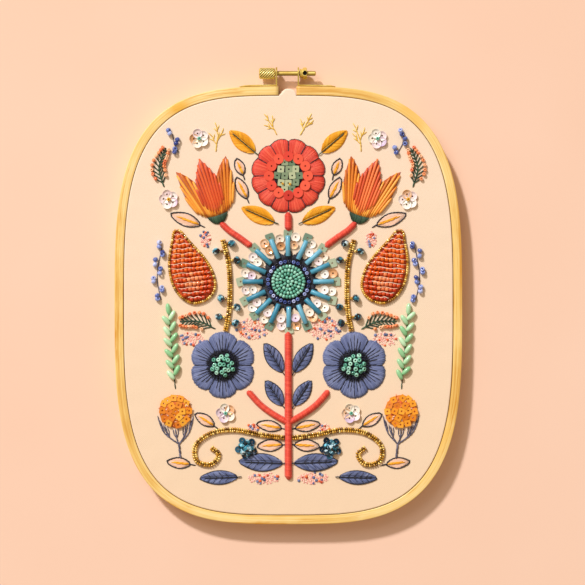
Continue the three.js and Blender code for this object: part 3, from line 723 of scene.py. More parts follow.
def makeCloth():
    near = math.atan2(halfSplit, hoop["halfHeight"])
    coarse = np.linspace(math.pi / 2 + near * 1.15, math.pi / 2 + fullTurn - near * 1.15, 300)
    fine = np.linspace(math.pi / 2 - near * 1.15, math.pi / 2 + near * 1.15, 46)[1:-1]
    angles = np.concatenate([coarse, fine + fullTurn])
    edge, hem, top, flatFrom = clothFacts["edge"], clothFacts["hem"], clothTop, clothFacts["flatFrom"]
    under = top - clothFacts["thickness"]
    ringInside = hoop["halfHeight"] - hoop["outerThickness"]
    rings = []

    def ring(offset, z, share=1.0, scale=1.0, hidden=False):
        line = hoopLine(angles, offset) * scale
        high = np.full(len(angles), float(z))
        if not hidden:
            above = np.sin(angles) > 0
            bulge = tuckShape(line[:, 0]) * above * share
            line[:, 1] += bulge
            if z > hem + 1 and share > 0.5:         # in the split it falls away towards the ring's left end
                beyond = (line[:, 1] - ringInside) * above
                slant = clothFacts["brinkSlant"] * np.clip(beyond / clothFacts["brinkReach"], 0, 1)
                brink = hoop["splitCentre"] - clothFacts["brinkFrom"] + slant
                fallen = np.clip((brink - line[:, 0]) / clothFacts["brinkWidth"], 0, 1)
                fallen = fallen * np.clip(beyond / 0.6, 0, 1)
                high -= (z / top) ** 2 * clothFacts["tuckDrop"] * fallen
            if z >= top - 0.01:         # faint pulls in the cloth near the rim
                fade = clothFacts["pull"] * max(0, 1 - abs(offset + 8) / 8)
                high += fade * np.sin(angles * 46 + 2 * np.sin(angles * 5)) - 0.03
        rings.append(np.column_stack([line, high]))

    ring(edge, hem)
    for z in (3.5, 6.5, 8.8):
        ring(edge, z)
    ring(edge, 9.5)
    ring(edge - 0.12, 9.85, 0.98)
    ring(edge - 0.45, top, 0.94)
    for offset in (-5.6, -5.85, -6.2, -6.6, -7.1, -7.8, -9.2, -11, -13, -15.5, -18, flatFrom):
        ring(offset, top, max(0, 1 - (-5.6 - offset) / clothFacts["tuckFade"]) * 0.9)
    for scale in np.linspace(0.96, 0.02, 34):
        ring(flatFrom, top, 0, scale)
    topRows = len(rings)
    for scale in (0.02, 0.3, 0.6, 0.85, 1.0):
        ring(flatFrom, under, 0, scale, hidden=True)
    for offset, z in ((-12, under), (-6.4, under), (-5.9, 8.8), (-5.8, 8.3), (-5.8, 4), (-5.8, hem)):
        ring(offset, z, 0, hidden=True)
    points = np.array(rings)
    rows, columns = points.shape[:2]
    faces = gridFaces(rows, columns, closedRows=True)
    keep = np.ones(len(faces), bool)    # no faces between the top's last ring and the underside's first
    keep[(topRows - 1) * columns:topRows * columns] = False
    flat = points.reshape(-1, 3)
    middleTop, middleUnder = len(flat), len(flat) + 1
    flat = np.vstack([flat, [0, 0, top], [0, 0, under]])
    j = np.arange(columns)
    after = (j + 1) % columns
    lastTop, firstUnder = (topRows - 1) * columns, topRows * columns
    fanTop = np.stack([lastTop + j, lastTop + after, np.full(columns, middleTop)], -1)
    fanUnder = np.stack([firstUnder + after, firstUnder + j, np.full(columns, middleUnder)], -1)
    heap = Heap()
    heap.add((flat, [faces[keep], fanTop, fanUnder]))
    return heap.build("stretchedCloth", cottonMaterial)


stretchedCloth = settle(makeCloth(), "linen", "cloth")
print("hoop and cloth made")


# Brass clamp

clamp = {
    "axisY": 118.7, "axisZ": 5.0, "leftEar": -6.1, "rightEar": 5.1, "strip": 19.0, "stripOut": 1.0,
    "stripIn": 0.3, "stripLow": 1.5, "stripHigh": 8.5, "earThickness": 0.8, "earRadius": 3.2,
    "earHole": 1.55, "earSides": 40, "stripTone": 0.42, "earTone": 0.34,
}
axisAt = (0, clamp["axisY"], clamp["axisZ"])


def makeBracket(name, earX, node):
    side = 1 if earX > 0 else -1
    xs = np.linspace(earX - side * 0.4, earX + side * clamp["strip"], 24)
    angles = np.arctan2(hoop["halfHeight"], xs)
    inside, low, high = clamp["stripIn"], clamp["stripLow"], clamp["stripHigh"]
    section = roundedSection(inside, clamp["stripOut"], low, high, 0.2, 2)
    thin = np.minimum(1, 0.4 + 0.2 * np.arange(len(angles))[::-1])     # the strip's far end is filed thin
    heap = Heap()
    points, faces = capped(swept(section, angles, inside, thin), len(angles), len(section))
    heap.add((points, faces if side > 0 else [f[:, ::-1] for f in faces]), clamp["stripTone"])
    sides = clamp["earSides"]
    turns = np.arange(sides) * fullTurn / sides
    foot = clamp["axisY"] - hoop["halfHeight"] - clamp["stripIn"]
    reach = np.full(sides, clamp["earRadius"])
    down = np.cos(turns) < 0            # the ear's foot is square, and its top is round
    toFoot = foot / np.abs(np.cos(turns[down]))
    toSide = clamp["earRadius"] / np.maximum(np.abs(np.sin(turns[down])), 1e-6)
    reach[down] = np.minimum(toFoot, toSide)
    outer = np.stack([reach * np.cos(turns), reach * np.sin(turns)], -1)
    points, faces = pierced(outer, circle(clamp["earHole"], sides), clamp["earThickness"])
    points = points[:, [2, 0, 1]] + [earX - clamp["earThickness"] / 2, *axisAt[1:]]
    heap.add((points, faces), clamp["earTone"])
    return settle(sharpen(heap.build(name, brassMaterial), 0.00015), "brass", node)


makeBracket("bracketLeft", clamp["leftEar"], "bracket_left")
makeBracket("bracketRight", clamp["rightEar"], "bracket_right")

screwFacts = {
    "headStart": -15.0, "headEnd": -6.8, "headRadius": 2.9, "rodRadius": 1.25, "tip": 14.1, "pitch": 0.5,
    "sides": 112, "knurlRings": 66, "knurlCuts": 6, "knurlTwist": 2.3, "knurlDepth": 0.55,
    "edgeRound": 0.35, "threadDepth": 0.02, "paintedHighlightAt": 1.45, "paintedHighlightFrom": 0.8,
}


def roundOf(x, reach, turn):            # one ring about +X
    return np.stack([np.full(len(turn), x), reach * np.cos(turn), reach * np.sin(turn)], -1)


def makeScrew():
    sides = screwFacts["sides"]
    turn = np.arange(sides) * fullTurn / sides
    start, end, radius = (screwFacts[k] for k in ("headStart", "headEnd", "headRadius"))
    rings, tones = [], []

    def ring(x, r, tone=0.5):
        rings.append(roundOf(x, r, turn))
        tones.append(np.broadcast_to(tone, sides))

    deep, rod = screwFacts["knurlDepth"], screwFacts["rodRadius"]
    for r in (0.02, 1.6, 2.0, radius - deep):
        ring(start + (0.12 if r < 1.8 else 0), r)
    for x in np.linspace(start + 0.25, end - 0.25, screwFacts["knurlRings"]):
        groove = np.abs(np.sin(screwFacts["knurlCuts"] * turn + screwFacts["knurlTwist"] * x))
        edge = max(0, min(1, (x - start - 0.2) / 0.4, (end - 0.2 - x) / 0.4))
        # painted shade and highlight: the knurl's hollows get a low tone, drawn dark, and its crests a high
        # one, drawn bright
        tone = 0.5 * (1 - edge * (1 - groove) ** 1.2) + 0.4 * edge * groove ** 5
        ring(x, radius - screwFacts["edgeRound"] * (1 - edge) - deep * (1 - groove) * edge, tone)
    for r in (radius - 0.6, rod + 0.3, rod):
        ring(end, r)
    highlightCut = screwFacts["paintedHighlightFrom"]     # painted highlight and shade: the rod is drawn bright in a band along its top, towards the light, darker at its sides and darker in the thread's grooves
    paintedHighlight = np.clip((np.cos(turn - screwFacts["paintedHighlightAt"]) - highlightCut) / (1 - highlightCut), 0, 1)
    for x in np.arange(end + 0.12, screwFacts["tip"] - 0.45, screwFacts["pitch"] / 5):
        thread = np.abs(((x / screwFacts["pitch"] - turn / fullTurn) % 1) * 2 - 1)
        ring(x, rod - screwFacts["threadDepth"] * thread, 0.24 + 0.42 * paintedHighlight - 0.12 * thread)
    ring(screwFacts["tip"] - 0.3, rod - 0.18)
    ring(screwFacts["tip"], rod - 0.45)
    heap = Heap()
    tones = np.concatenate([*tones, [0.5, 0.5]])
    heap.add(shifted(capped(np.array(rings), len(rings), sides), axisAt), tones)
    return settle(heap.build("thumbScrew", brassMaterial), "brass", "thumb_screw", body="screw")


makeScrew()

nutFacts = {
    "start": 5.8, "neckRadius": 2.3, "neckLength": 1.5, "hexRadius": 3.05, "hexLength": 2.2, "bore": 1.5,
    "crossHole": 1.0, "sides": 72,
}


def makeNut():
    sides = nutFacts["sides"]
    turn = np.arange(sides) * fullTurn / sides
    apothem = nutFacts["hexRadius"] * math.cos(math.pi / 6)
    hexagon = apothem / np.cos((turn % (fullTurn / 6)) - fullTurn / 12)
    start, neck, bore = nutFacts["start"], nutFacts["neckRadius"], nutFacts["bore"]
    neckEnd = start + nutFacts["neckLength"]
    end = neckEnd + nutFacts["hexLength"]
    chamfer = np.minimum(hexagon, apothem + 0.12)
    steps = [
        (start, bore), (start, neck - 0.15), (start + 0.15, neck), (neckEnd - 0.1, neck - 0.1),
        (neckEnd, neck), (neckEnd, chamfer - 0.1), (neckEnd + 0.2, chamfer), (neckEnd + 0.35, hexagon),
        (end - 0.35, hexagon), (end - 0.2, chamfer), (end, chamfer - 0.1), (end, bore + 0.2),
        (end - 0.2, bore),
    ]
    points = np.array([roundOf(x, r, turn) for x, r in steps]).reshape(-1, 3)
    heap = Heap()
    heap.add(shifted((points, [gridFaces(len(steps), sides, closedRows=True)]), axisAt))
    nut = heap.build("clampNut", brassMaterial)
    drill = Heap()
    hole = nutFacts["crossHole"]
    profile = [(0, 0), (0, hole), (0.75, hole), (1.1, hole + 0.12), (4, hole + 0.12), (4, 0)]
    # The cross hole stops just above the bore
    at = (neckEnd + nutFacts["hexLength"] / 2, clamp["axisY"], clamp["axisZ"] + 1.6)
    drill.add(shifted(turned(profile, 24), at, pitch=math.pi / 2))
    # painted shade: the drill's near-black finish passes to the walls of the hole it cuts
    cutter = drill.build("drill", holeShadeMaterial)
    cut = nut.modifiers.new("hole", "BOOLEAN")
    cut.object, cut.operation, cut.solver, cut.material_mode = cutter, "DIFFERENCE", "EXACT", "TRANSFER"
    shown = bpy.context.evaluated_depsgraph_get()
    mesh = bpy.data.meshes.new_from_object(nut.evaluated_get(shown))
    nut.modifiers.clear()
    nut.data = mesh
    bpy.data.objects.remove(cutter)
    mesh.shade_flat()
    return settle(nut, "brass", "nut", body="nut")


makeNut()
print("clamp made")


# Daisy: a disc of mint beads, a navy collar and bugles with square sequins at their tips

daisy = {
    "at": (0, 12), "rings": (7.75, 5.85, 3.95, 2.05), "collar": 10.35, "collarBeads": 29, "petals": 16,
    "bugleFrom": 12.6, "bugleTo": 23.1, "bugleRadius": 1.25, "tip": 24.3, "tipSize": 4.4,
    "cups": ((22.6, 2.4, 0.15), (18.9, 2.25, 0.55)), "cupDepth": 0.6, "felt": 9.6, "groundStitches": 220,
    "groundFrom": 9.2, "groundTo": 15.6, "groundWave": 1.6, "beadStep": 1.62, "dome": 0.55, "domeRadius": 8.5,
}


def makeDaisy():
    draw = np.random.default_rng(11)
    middle = daisy["at"]
    ground = Heap()
    ground.add(pad(circle(daisy["felt"], 40) + middle, clothTop, clothTop + 0.6), 0.1)
    for i in range(daisy["groundStitches"]):
        turn = i * fullTurn / daisy["groundStitches"] + draw.normal(0, 0.004)
        ray = heading(turn)
        wave = daisy["groundWave"] * math.cos(turn * daisy["petals"])
        far = daisy["groundTo"] + wave + draw.normal(0, 0.25)
        near = daisy["groundFrom"] + draw.uniform(0, 2.4) * (i % 2)
        tone = draw.uniform(0, 0.9)
        stitch(ground, ray * near + middle, ray * far + middle, 0.6, 0.3, 0.3, tone, steps=5, sides=5)
    ground.sew("daisyGround", inkThread, "navy")
    cups, knots = Heap(), Heap()
    for i in range(daisy["petals"]):
        for wide, size, high in daisy["cups"]:
            turn = (i + 0.5) * fullTurn / daisy["petals"] + draw.normal(0, 0.03)
            wide += draw.normal(0, 0.25)
            at = around(middle, wide, turn, clothTop + high)
            cup = cupSequin(size, daisy["cupDepth"])
            cups.add(shifted(cup, at, turn, draw.normal(0.2, 0.14)), draw.uniform(0, 1))
            knots.add(shifted(holdingKnot, at))
    cups.sew("daisyCups", pearlMaterial, "pearl", flat=True)
    knots.sew("daisyCupKnots", brownThread, "navy")
    disc = Heap()
    for k, radius in enumerate(daisy["rings"]):
        count = int(fullTurn * radius / daisy["beadStep"])
        dome = daisy["dome"] * (1 - (radius / daisy["domeRadius"]) ** 2)
        for i in range(count):
            turn = (i + 0.37 * k) * fullTurn / count
            wide = radius + draw.normal(0, 0.07)
            at = around(middle, wide, turn, clothTop + 1.25 + dome + draw.normal(0, 0.06))
            yaw = turn + math.pi / 2 + draw.normal(0, 0.13)
            disc.add(shifted(roundSeed, at, yaw, draw.normal(0, 0.1), 0, 0.94), draw.uniform(0.2, 0.8))
    disc.add(shifted(roundSeed, (*middle, clothTop + 1.9), 0.4), 0.6)
    disc.sew("daisyDisc", mintBead, "mint", "daisy_centre")
    navy, violet = Heap(), Heap()
    for i in range(daisy["collarBeads"]):
        turn = i * fullTurn / daisy["collarBeads"]
        wide = daisy["collar"] + draw.normal(0, 0.08)
        at = around(middle, wide, turn, clothTop + 0.95)
        target = navy if i % 3 == 1 else violet
        target.add(shifted(roundSeed, at, turn, math.pi / 2 - draw.uniform(0.05, 0.3)), draw.uniform(0, 1))
    navy.sew("daisyCollar", navyBead, "navy", "daisy_collar")
    violet.sew("daisyCollarLights", violetBead, "navy")
    bugles, tips = Heap(), Heap()
    length = daisy["bugleTo"] - daisy["bugleFrom"]
    r = daisy["bugleRadius"]
    tube = turned([
        (-length / 2, r * 0.8), (-length / 2 + 0.2, r), (length / 2 - 0.2, r), (length / 2, r * 0.8),
        (length / 2 - 0.4, r * 0.45), (-length / 2 + 0.4, r * 0.45),
    ], 16)
    for i in range(daisy["petals"]):
        turn = i * fullTurn / daisy["petals"] + draw.normal(0, 0.018)
        wide = (daisy["bugleFrom"] + daisy["bugleTo"]) / 2 + draw.normal(0, 0.25)
        spot = around(middle, wide, turn, clothTop + 1.25)
        bugle = shifted(tube, spot, turn + draw.normal(0, 0.03), 0, draw.uniform(0, 6))
        bugles.add(bugle, draw.uniform(0, 1))
        lean = draw.uniform(0.02, 0.14)
        spot = around(middle, daisy["tip"], turn, clothTop + 0.35)
        tip = shifted(squareSequin(daisy["tipSize"]), spot, turn + draw.normal(0, 0.1), lean)
        tips.add(tip, draw.uniform(0, 1))
    bugles.sew("daisyBugles", blueBugle, "sky_blue", "daisy_petals")
    tips.sew("daisyTips", tealSequin, "sage", flat=True)


makeDaisy()

# Zinnia: satin petals round a bed of square sequins

zinnia = {
    "at": (0, 66), "petals": 12, "radius": 19.0, "notch": 1.6, "start": 7.8, "bed": 7.4, "tile": 3.75,
    "discs": 12, "discRing": 9.9, "discRadius": 2.6, "felt": 7.6, "lineFrom": 10.5, "gap": 0.32,
}


def radialSatin(heap, flower, outline, draw, pitch, at):        # stitches that run out from a flower's heart
    reach = np.linalg.norm(outline, axis=1)
    turns = np.unwrap(np.arctan2(outline[:, 1], outline[:, 0]))
    count = int(fullTurn * flower["radius"] / pitch)
    for i in range(count):
        turn = i * fullTurn / count + draw.normal(0, 0.003)
        far = np.interp(turn % fullTurn, turns, reach, period=fullTurn)
        near = flower["start"] - 0.6 + (draw.uniform(0, 5.5) if i % 2 else draw.uniform(0, 0.8))
        far += draw.normal(0, 0.12)
        lobe = abs(math.sin(turn * flower["petals"] / 2))
        tone = draw.uniform(0.1, 0.6) + 0.3 * lobe
        start, end = heading(turn) * near + at, heading(turn) * far + at
        rise = 0.5 * (0.35 + 0.65 * lobe)
        stitch(heap, start, end, pitch * 1.3, 0.35, rise, tone, clothTop + 0.25, steps=7)


def makeZinnia():
    draw = np.random.default_rng(21)
    outline = rosette(zinnia["petals"], zinnia["radius"], zinnia["notch"])
    petals = Heap()
    petals.add(pad(outline * 0.985 + zinnia["at"], clothTop, clothTop + 0.5), 0.2)
    radialSatin(petals, zinnia, outline, draw, 0.46, zinnia["at"])
    petals.sew("zinniaPetals", coralThread, "coral", "zinnia_petals")
    lines = Heap()
    dip = zinnia["radius"] - zinnia["notch"] * 0.9
    for i in range(zinnia["petals"]):
        ray = heading(i * fullTurn / zinnia["petals"])
        line = np.array([ray * zinnia["lineFrom"], ray * dip]) + zinnia["at"]
        stemLine(lines, line, 0.42, draw, clothTop + 0.75)
    loop = np.vstack([outline, outline[:1]]) * 1.005 + zinnia["at"]
    stemLine(lines, loop, 0.45, draw, clothTop, stride=1.9)
    lines.sew("zinniaLines", inkThread, "green")
    discs = Heap()
    for i in range(zinnia["discs"]):
        turn = i * fullTurn / zinnia["discs"]
        at = around(zinnia["at"], zinnia["discRing"], turn, clothTop + 1.3 + 0.18 * (i % 2))
        disc = roundSequin(zinnia["discRadius"])
        discs.add(shifted(disc, at, turn, draw.normal(0, 0.02)), draw.uniform(0, 1))
    discs.sew("zinniaSequins", redSequin, "coral", flat=True)
    bed, squares, beads = Heap(), Heap(), Heap()
    bed.add(pad(circle(zinnia["felt"], 40) + zinnia["at"], clothTop, clothTop + 0.7), 0.4)
    bed.sew("zinniaFelt", inkThread, "slate")
    tileShape = squareSequin(zinnia["tile"] - zinnia["gap"], 0.2, 0.02, 0.42)
    for row in range(-2, 3):            # staggered rows of tiles
        for step in range(-2, 3):
            x = (step + 0.5 * (row % 2 == 0)) * zinnia["tile"] + draw.normal(0, 0.1)
            y = row * (zinnia["tile"] - 0.3) + draw.normal(0, 0.1)
            radius = math.hypot(x, y)
            if radius > zinnia["bed"]:
                continue
            high = clothTop + 0.95 + 0.3 * (1 - radius / 7) + 0.12 * (step % 2)
            at = np.array([zinnia["at"][0] + x, zinnia["at"][1] + y, high])
            tile = shifted(tileShape, at, draw.normal(0, 0.09), draw.normal(0, 0.02))
            squares.add(tile, draw.uniform(0, 1))
            if draw.uniform(0, 1) < 0.25:
                bead = shifted(tinySeed, at + [0.8, -0.5, 0.5], 0, math.pi / 2 - 0.2)
                beads.add(bead, draw.uniform(0, 1))
    squares.sew("zinniaBed", sageSequin, "sage", "zinnia_centre", flat=True)
    beads.sew("zinniaBedBeads", yellowBead, "gold")


makeZinnia()
print("daisy and zinnia made")


# Stems: close stitches over a padded core

stems = {"width": 3.8, "height": 2.4, "pitch": 0.42, "thin": 0.85}
trunkLine = [(0, -88.6), (0, -13.8)]
neckLine = [(0, 38.0), (0, 47.2)]
branchLine = [(0, -60), (7, -56), (14, -51), (20.6, -43.8)]
armLine = [(18.9, 30.0), (25, 34.5), (30.4, 38.2), (34.3, 42.0)]


def makeStem(heap, line, draw, thin=1.0):         # a cord that gets thinner at its ends, wrapped in thread
    width, height = stems["width"] * thin, stems["height"] * thin
    line = resampled(line, 1.0)
    toEnd = np.minimum(np.arange(len(line)), np.arange(len(line))[::-1])
    rounded = np.sqrt(np.clip((toEnd + 0.35) / 2, 0, 1))
    core = np.column_stack([line, np.full(len(line), clothTop + 0.1)])
    heap.add(cord(core, width * 0.92 * rounded, height * 1.75 * rounded, 12), 0.35)
    wrapped(heap, line, width, height, stems["pitch"], draw)


def mirrored(points, side):             # on the left half x runs the other way
    return np.asarray(points, float) * [side, 1]


def makeStems():
    draw = np.random.default_rng(31)
    heap = Heap()
    for side in (-1, 1):
        makeStem(heap, route(mirrored(branchLine, side), 1.0), draw, stems["thin"])
    makeStem(heap, trunkLine, draw)
    heap.sew("trunkStem", coralThread, "coral", "trunk")
    neck = Heap()
    makeStem(neck, neckLine, draw)
    neck.sew("neckStem", coralThread, "coral", "neck_stem")
    for side, word in halves:
        arm = Heap()
        makeStem(arm, route(mirrored(armLine, side), 1.0), draw, stems["thin"])
        arm.sew("arm" + word.title(), coralThread, "coral", "arm_" + word)


makeStems()

# Tulips: thick cords of orange thread, with a flame-coloured petal in front

tulip = {"at": (36, 45.5), "tilt": 18, "size": 1.22, "rib": 1.5, "outerRibs": 19, "frontRibs": 9}
tulipOuter = bezierOutline((0, 0), [
    ((8, 0), (12, 7), (11, 23)), ((8, 21), (6, 18), (4.5, 15)), ((1.5, 15), (-1.5, 15), (-4.5, 15)),
    ((-6, 18), (-8, 21), (-11, 23)), ((-12, 7), (-8, 0), (0, 0)),
])
tulipFront = bezierOutline((0, 1), [((6.5, 4), (7.5, 14), (0, 25)), ((-7.5, 14), (-6.5, 4), (0, 1))])
tulipCalyx = bezierOutline((-5.4, 0.7), [
    ((-2, 0.9), (2, 0.9), (5.4, 0.7)), ((4, -2.4), (2.6, -3.6), (1.4, -3.8)),
    ((0.5, -3.9), (-0.5, -3.9), (-1.4, -3.8)), ((-2.6, -3.6), (-4, -2.4), (-5.4, 0.7)),
], 8)


def placed(points, spot, side, size=1.0):         # an outline set on the cloth at a motif's place and tilt
    angle = -math.radians(spot.get("tilt", 0))
    return turnedFlat(np.asarray(points, float) * size, angle) * [side, 1] + np.array(spot["at"]) * [side, 1]


def fanStitches(outline, root, count):  # stretches inside an outline, spread like a fan from one point
    middle = np.arctan2(outline[:, 1] - root[1], outline[:, 0] - root[0])
    half = (middle.max() - middle.min()) / count / 2
    spread = np.linspace(middle.min() + half, middle.max() - half, count)
    after = np.roll(outline, -1, axis=0)
    found = []
    for turn in spread:
        ray = heading(turn)
        hits = []
        for a, b in zip(outline - root, after - root):
            edge = b - a
            cross = ray[0] * edge[1] - ray[1] * edge[0]
            if abs(cross) < 1e-9:
                continue
            t = (a[0] * edge[1] - a[1] * edge[0]) / cross
            s = (a[0] * ray[1] - a[1] * ray[0]) / cross
            if 0 <= s < 1 and t > 0:
                hits.append(t)
        hits.sort()
        if len(hits) >= 2:
            found.append((root + ray * hits[0], root + ray * hits[-1]))
    return found


def makeTulip(side, word):
    draw = np.random.default_rng(41 + side)
    outer, front = Heap(), Heap()
    size = tulip["size"]
    shape = placed(tulipOuter, tulip, side, size)
    outer.add(pad(shape, clothTop, clothTop + 0.4, 0.8), 0.0)
    for start, end in fanStitches(tulipOuter, np.array([0, -16.0]), tulip["outerRibs"]):
        a, b = placed([start, end], tulip, side, size)
        tone = draw.uniform(0.2, 0.9)
        stitch(outer, a, b, tulip["rib"], 1.5, 0.35, tone, clothTop + 0.15, steps=11, sides=8)
    outer.sew("tulipOuter" + word.title(), orangeThread, "orange", "tulip_" + word)
    shape = placed(tulipFront, tulip, side, size)
    front.add(pad(shape, clothTop + 0.6, clothTop + 1.0, 0.6), 0.0)
    for start, end in fanStitches(tulipFront, np.array([0, -40.0]), tulip["frontRibs"]):
        a, b = placed([start, end], tulip, side, size)
        tone = draw.uniform(0.2, 0.9)
        stitch(front, a, b, tulip["rib"], 1.5, 0.4, tone, clothTop + 0.75, steps=11, sides=8)
    front.sew("tulipFront" + word.title(), flameThread, "coral")
    calyx = Heap()
    shape = placed(tulipCalyx, tulip, side)
    calyx.add(pad(shape, clothTop, clothTop + 0.7, 0.4), 0.3)
    tilt = math.radians(90 - tulip["tilt"])
    satin(calyx, shape, tilt if side > 0 else math.pi - tilt, 0.45, draw, 0.5, base=clothTop + 0.5)
    calyx.sew("calyx" + word.title(), greenThread, "green", "calyx_" + word)


# Paisleys: rows of orange beads under crossing threads, edged in gold

paisley = {"at": (48.5, 12.5), "tilt": 8, "size": 1.2, "row": 2.5, "step": 2.02}
paisleyOutline = bezierOutline((-9.5, -2), [
    ((-9.5, 8), (-3, 13), (1.5, 21)), ((2.8, 23.4), (5.8, 23.2), (6.2, 20.5)),
    ((7, 16.5), (10, 12), (9.8, 4)), ((9.6, -5), (4, -10), (0, -10)), ((-5, -10), (-9.5, -7), (-9.5, -2)),
])


def shrunk(outline, inset):             # an outline moved in along its own normals
    ahead = np.roll(outline, -1, axis=0) - np.roll(outline, 1, axis=0)
    normal = np.stack([ahead[:, 1], -ahead[:, 0]], -1)
    normal /= np.linalg.norm(normal, axis=1, keepdims=True)
    return outline + normal * (-inset if isAnticlockwise(outline) else inset)


def makePaisley(side, word):
    draw = np.random.default_rng(51 + side)
    outline = paisleyOutline * paisley["size"]
    ground = Heap()
    ground.add(pad(placed(outline, paisley, side), clothTop, clothTop + 0.35, 0.4), 0.4)
    ground.sew("paisleyGround" + word.title(), flameThread, "orange")
    beads, inner = Heap(), Heap()
    tube = seedBead(1.16, 1.9, 12, 0.3)
    tilt = -math.radians(paisley["tilt"])
    turn = tilt if side > 0 else math.pi - tilt
    for start, end in chords(shrunk(outline, 1.7), 0, paisley["row"]):
        width = end[0] - start[0]
        count = max(1, int(width / paisley["step"]))
        slack = (width - (count - 1) * paisley["step"]) / 2
        for i in range(count):
            spot = np.array([start[0] + slack + i * paisley["step"], start[1]]) + draw.normal(0, 0.06, 2)
            x, y = placed([spot], paisley, side)[0]
            drop = np.hypot(spot[0], spot[1] + 1) < 4.6
            target = inner if drop else beads
            share = (spot[1] - outline[:, 1].min()) / np.ptp(outline[:, 1])
            at = (x, y, clothTop + 1.3 + draw.normal(0, 0.05))
            bead = shifted(tube, at, turn + draw.normal(0, 0.1), draw.normal(0, 0.06), draw.uniform(0, 6))
            target.add(bead, 0.1 + 0.7 * share + draw.uniform(-0.2, 0.2))       # paler towards the tip
    beads.sew("paisleyBeads" + word.title(), orangeBead, "orange", "paisley_" + word)
    inner.sew("paisleyHeart" + word.title(), peachBead, "pearl")
    threads = Heap()
    for start, end in chords(shrunk(outline, 1.2), math.radians(4), paisley["row"]):
        a, b = placed([start, end], paisley, side)
        path = np.outer(np.linspace(1, 0, 14), a) + np.outer(np.linspace(0, 1, 14), b)
        path[:, 1] += 1.1 + 0.3 * np.sin(np.arange(14) * 1.1 + draw.uniform(0, 6))
        rise = clothTop + 2.2 + 0.18 * np.sin(np.arange(14) * 2.2)
        rise[[0, -1]] = clothTop + 0.4
        threads.add(cord(np.column_stack([path, rise]), 0.42, 0.36, 5), draw.uniform(0.2, 0.9))
    threads.sew("paisleyThreads" + word.title(), paleThread, "pearl")
    edge = Heap()
    line = placed(shrunk(outline, 0.5), paisley, side)
    strung(edge, resampled(np.vstack([line, line[:1]]), 1.12)[:-1], smallSeed, clothTop + 0.8, draw)
    edge.sew("paisleyEdge" + word.title(), goldBead, "gold")


# Anemones: slate satin petals, a fuzzy navy heart and mint beads standing on stalks

anemone = {
    "at": (33.5, -30.5), "petals": 6, "radius": 17.0, "notch": 3.0, "start": 6.4, "heart": 7.2,
    "hairs": 820, "stalks": 19, "creases": 5,
}


def makeAnemone(side, word):
    draw = np.random.default_rng(61 + side)
    at = np.array(anemone["at"]) * [side, 1]
    outline = rosette(anemone["petals"], anemone["radius"], anemone["notch"], 24)
    petals = Heap()
    petals.add(pad(outline * 0.985 + at, clothTop, clothTop + 0.5), 0.25)
    radialSatin(petals, anemone, outline, draw, 0.5, at)
    petals.sew("anemonePetals" + word.title(), slateThread, "slate", "anemone_" + word)
    lines = Heap()
    for i in range(anemone["petals"] * anemone["creases"]):
        petal, step = divmod(i, anemone["creases"])
        ray = heading((petal + (step - 2) * 0.13 + 0.5) * fullTurn / anemone["petals"])
        far = 15.2 - abs(step - 2) * 1.6
        stemLine(lines, np.array([ray * 6.5, ray * far]) + at, 0.36, draw, clothTop + 0.95)
    for i in range(anemone["petals"]):
        ray = heading(i * fullTurn / anemone["petals"])
        stemLine(lines, np.array([ray * 6.5, ray * 14.1]) + at, 0.5, draw, clothTop + 0.6)
    lines.sew("anemoneLines" + word.title(), inkThread, "navy")
    fuzz = Heap()
    hair = turned([(0, 0), (0, 0.26), (1.2, 0.18), (2.1, 0)], 4)
    for i in range(anemone["hairs"]):
        share = (i + 0.5) / anemone["hairs"]
        turn = i * goldenAngle
        spot = around(at, anemone["heart"] * math.sqrt(share), turn, clothTop + 0.3 + 1.5 * (1 - share))
        lean = math.pi / 2 - 1.15 * share + draw.normal(0, 0.15)
        tuft = shifted(hair, spot, turn + draw.normal(0, 0.3), lean, 0, draw.uniform(0.75, 1.2))
        fuzz.add(tuft, draw.uniform(0, 1))
    heart = turned([(0, 0), (0, 6.6), (1.0, 5.4), (1.7, 2.6), (2.0, 0)], 20)
    fuzz.add(shifted(heart, (*at, clothTop), pitch=math.pi / 2), 0.0)
    fuzz.sew("tuftFuzz" + word.title(), navyFuzz, "navy")
    beads = Heap()
    stalk = seedBead(0.55, 2.2, 6, 0.2)
    for i in range(anemone["stalks"]):
        radius = 6.1 * math.sqrt((i + 0.25) / anemone["stalks"])
        turn = i * goldenAngle + 0.4
        lean = 0.11 * radius + draw.normal(0, 0.14)
        yaw = turn + draw.normal(0, 0.25)
        reach = radius * 0.85 + draw.normal(0, 0.1)
        foot = np.array(around(at, reach, turn, clothTop + 1.5))
        nose = np.array([*(heading(yaw) * math.sin(lean)), math.cos(lean)])
        beads.add(shifted(stalk, foot, yaw, math.pi / 2 - lean), 0.1)
        spot = foot + nose * (2.1 - 0.24 * radius)
        bead = shifted(roundSeed, spot, yaw, math.pi / 2 - lean, 0, draw.uniform(1.1, 1.25))
        beads.add(bead, draw.uniform(0.2, 1))
    beads.sew("tuftBeads" + word.title(), mintBead, "mint", "tuft_" + word)


for side, word in halves:
    makeTulip(side, word)
    makePaisley(side, word)
    makeAnemone(side, word)
print("tulips, paisleys and anemones made")


# Rice-bead spikes

spike = {"at": (58, -38.5), "tilt": 5, "pairs": 6, "pitch": 5.6, "spread": 36, "length": 5.8, "radius": 1.28}


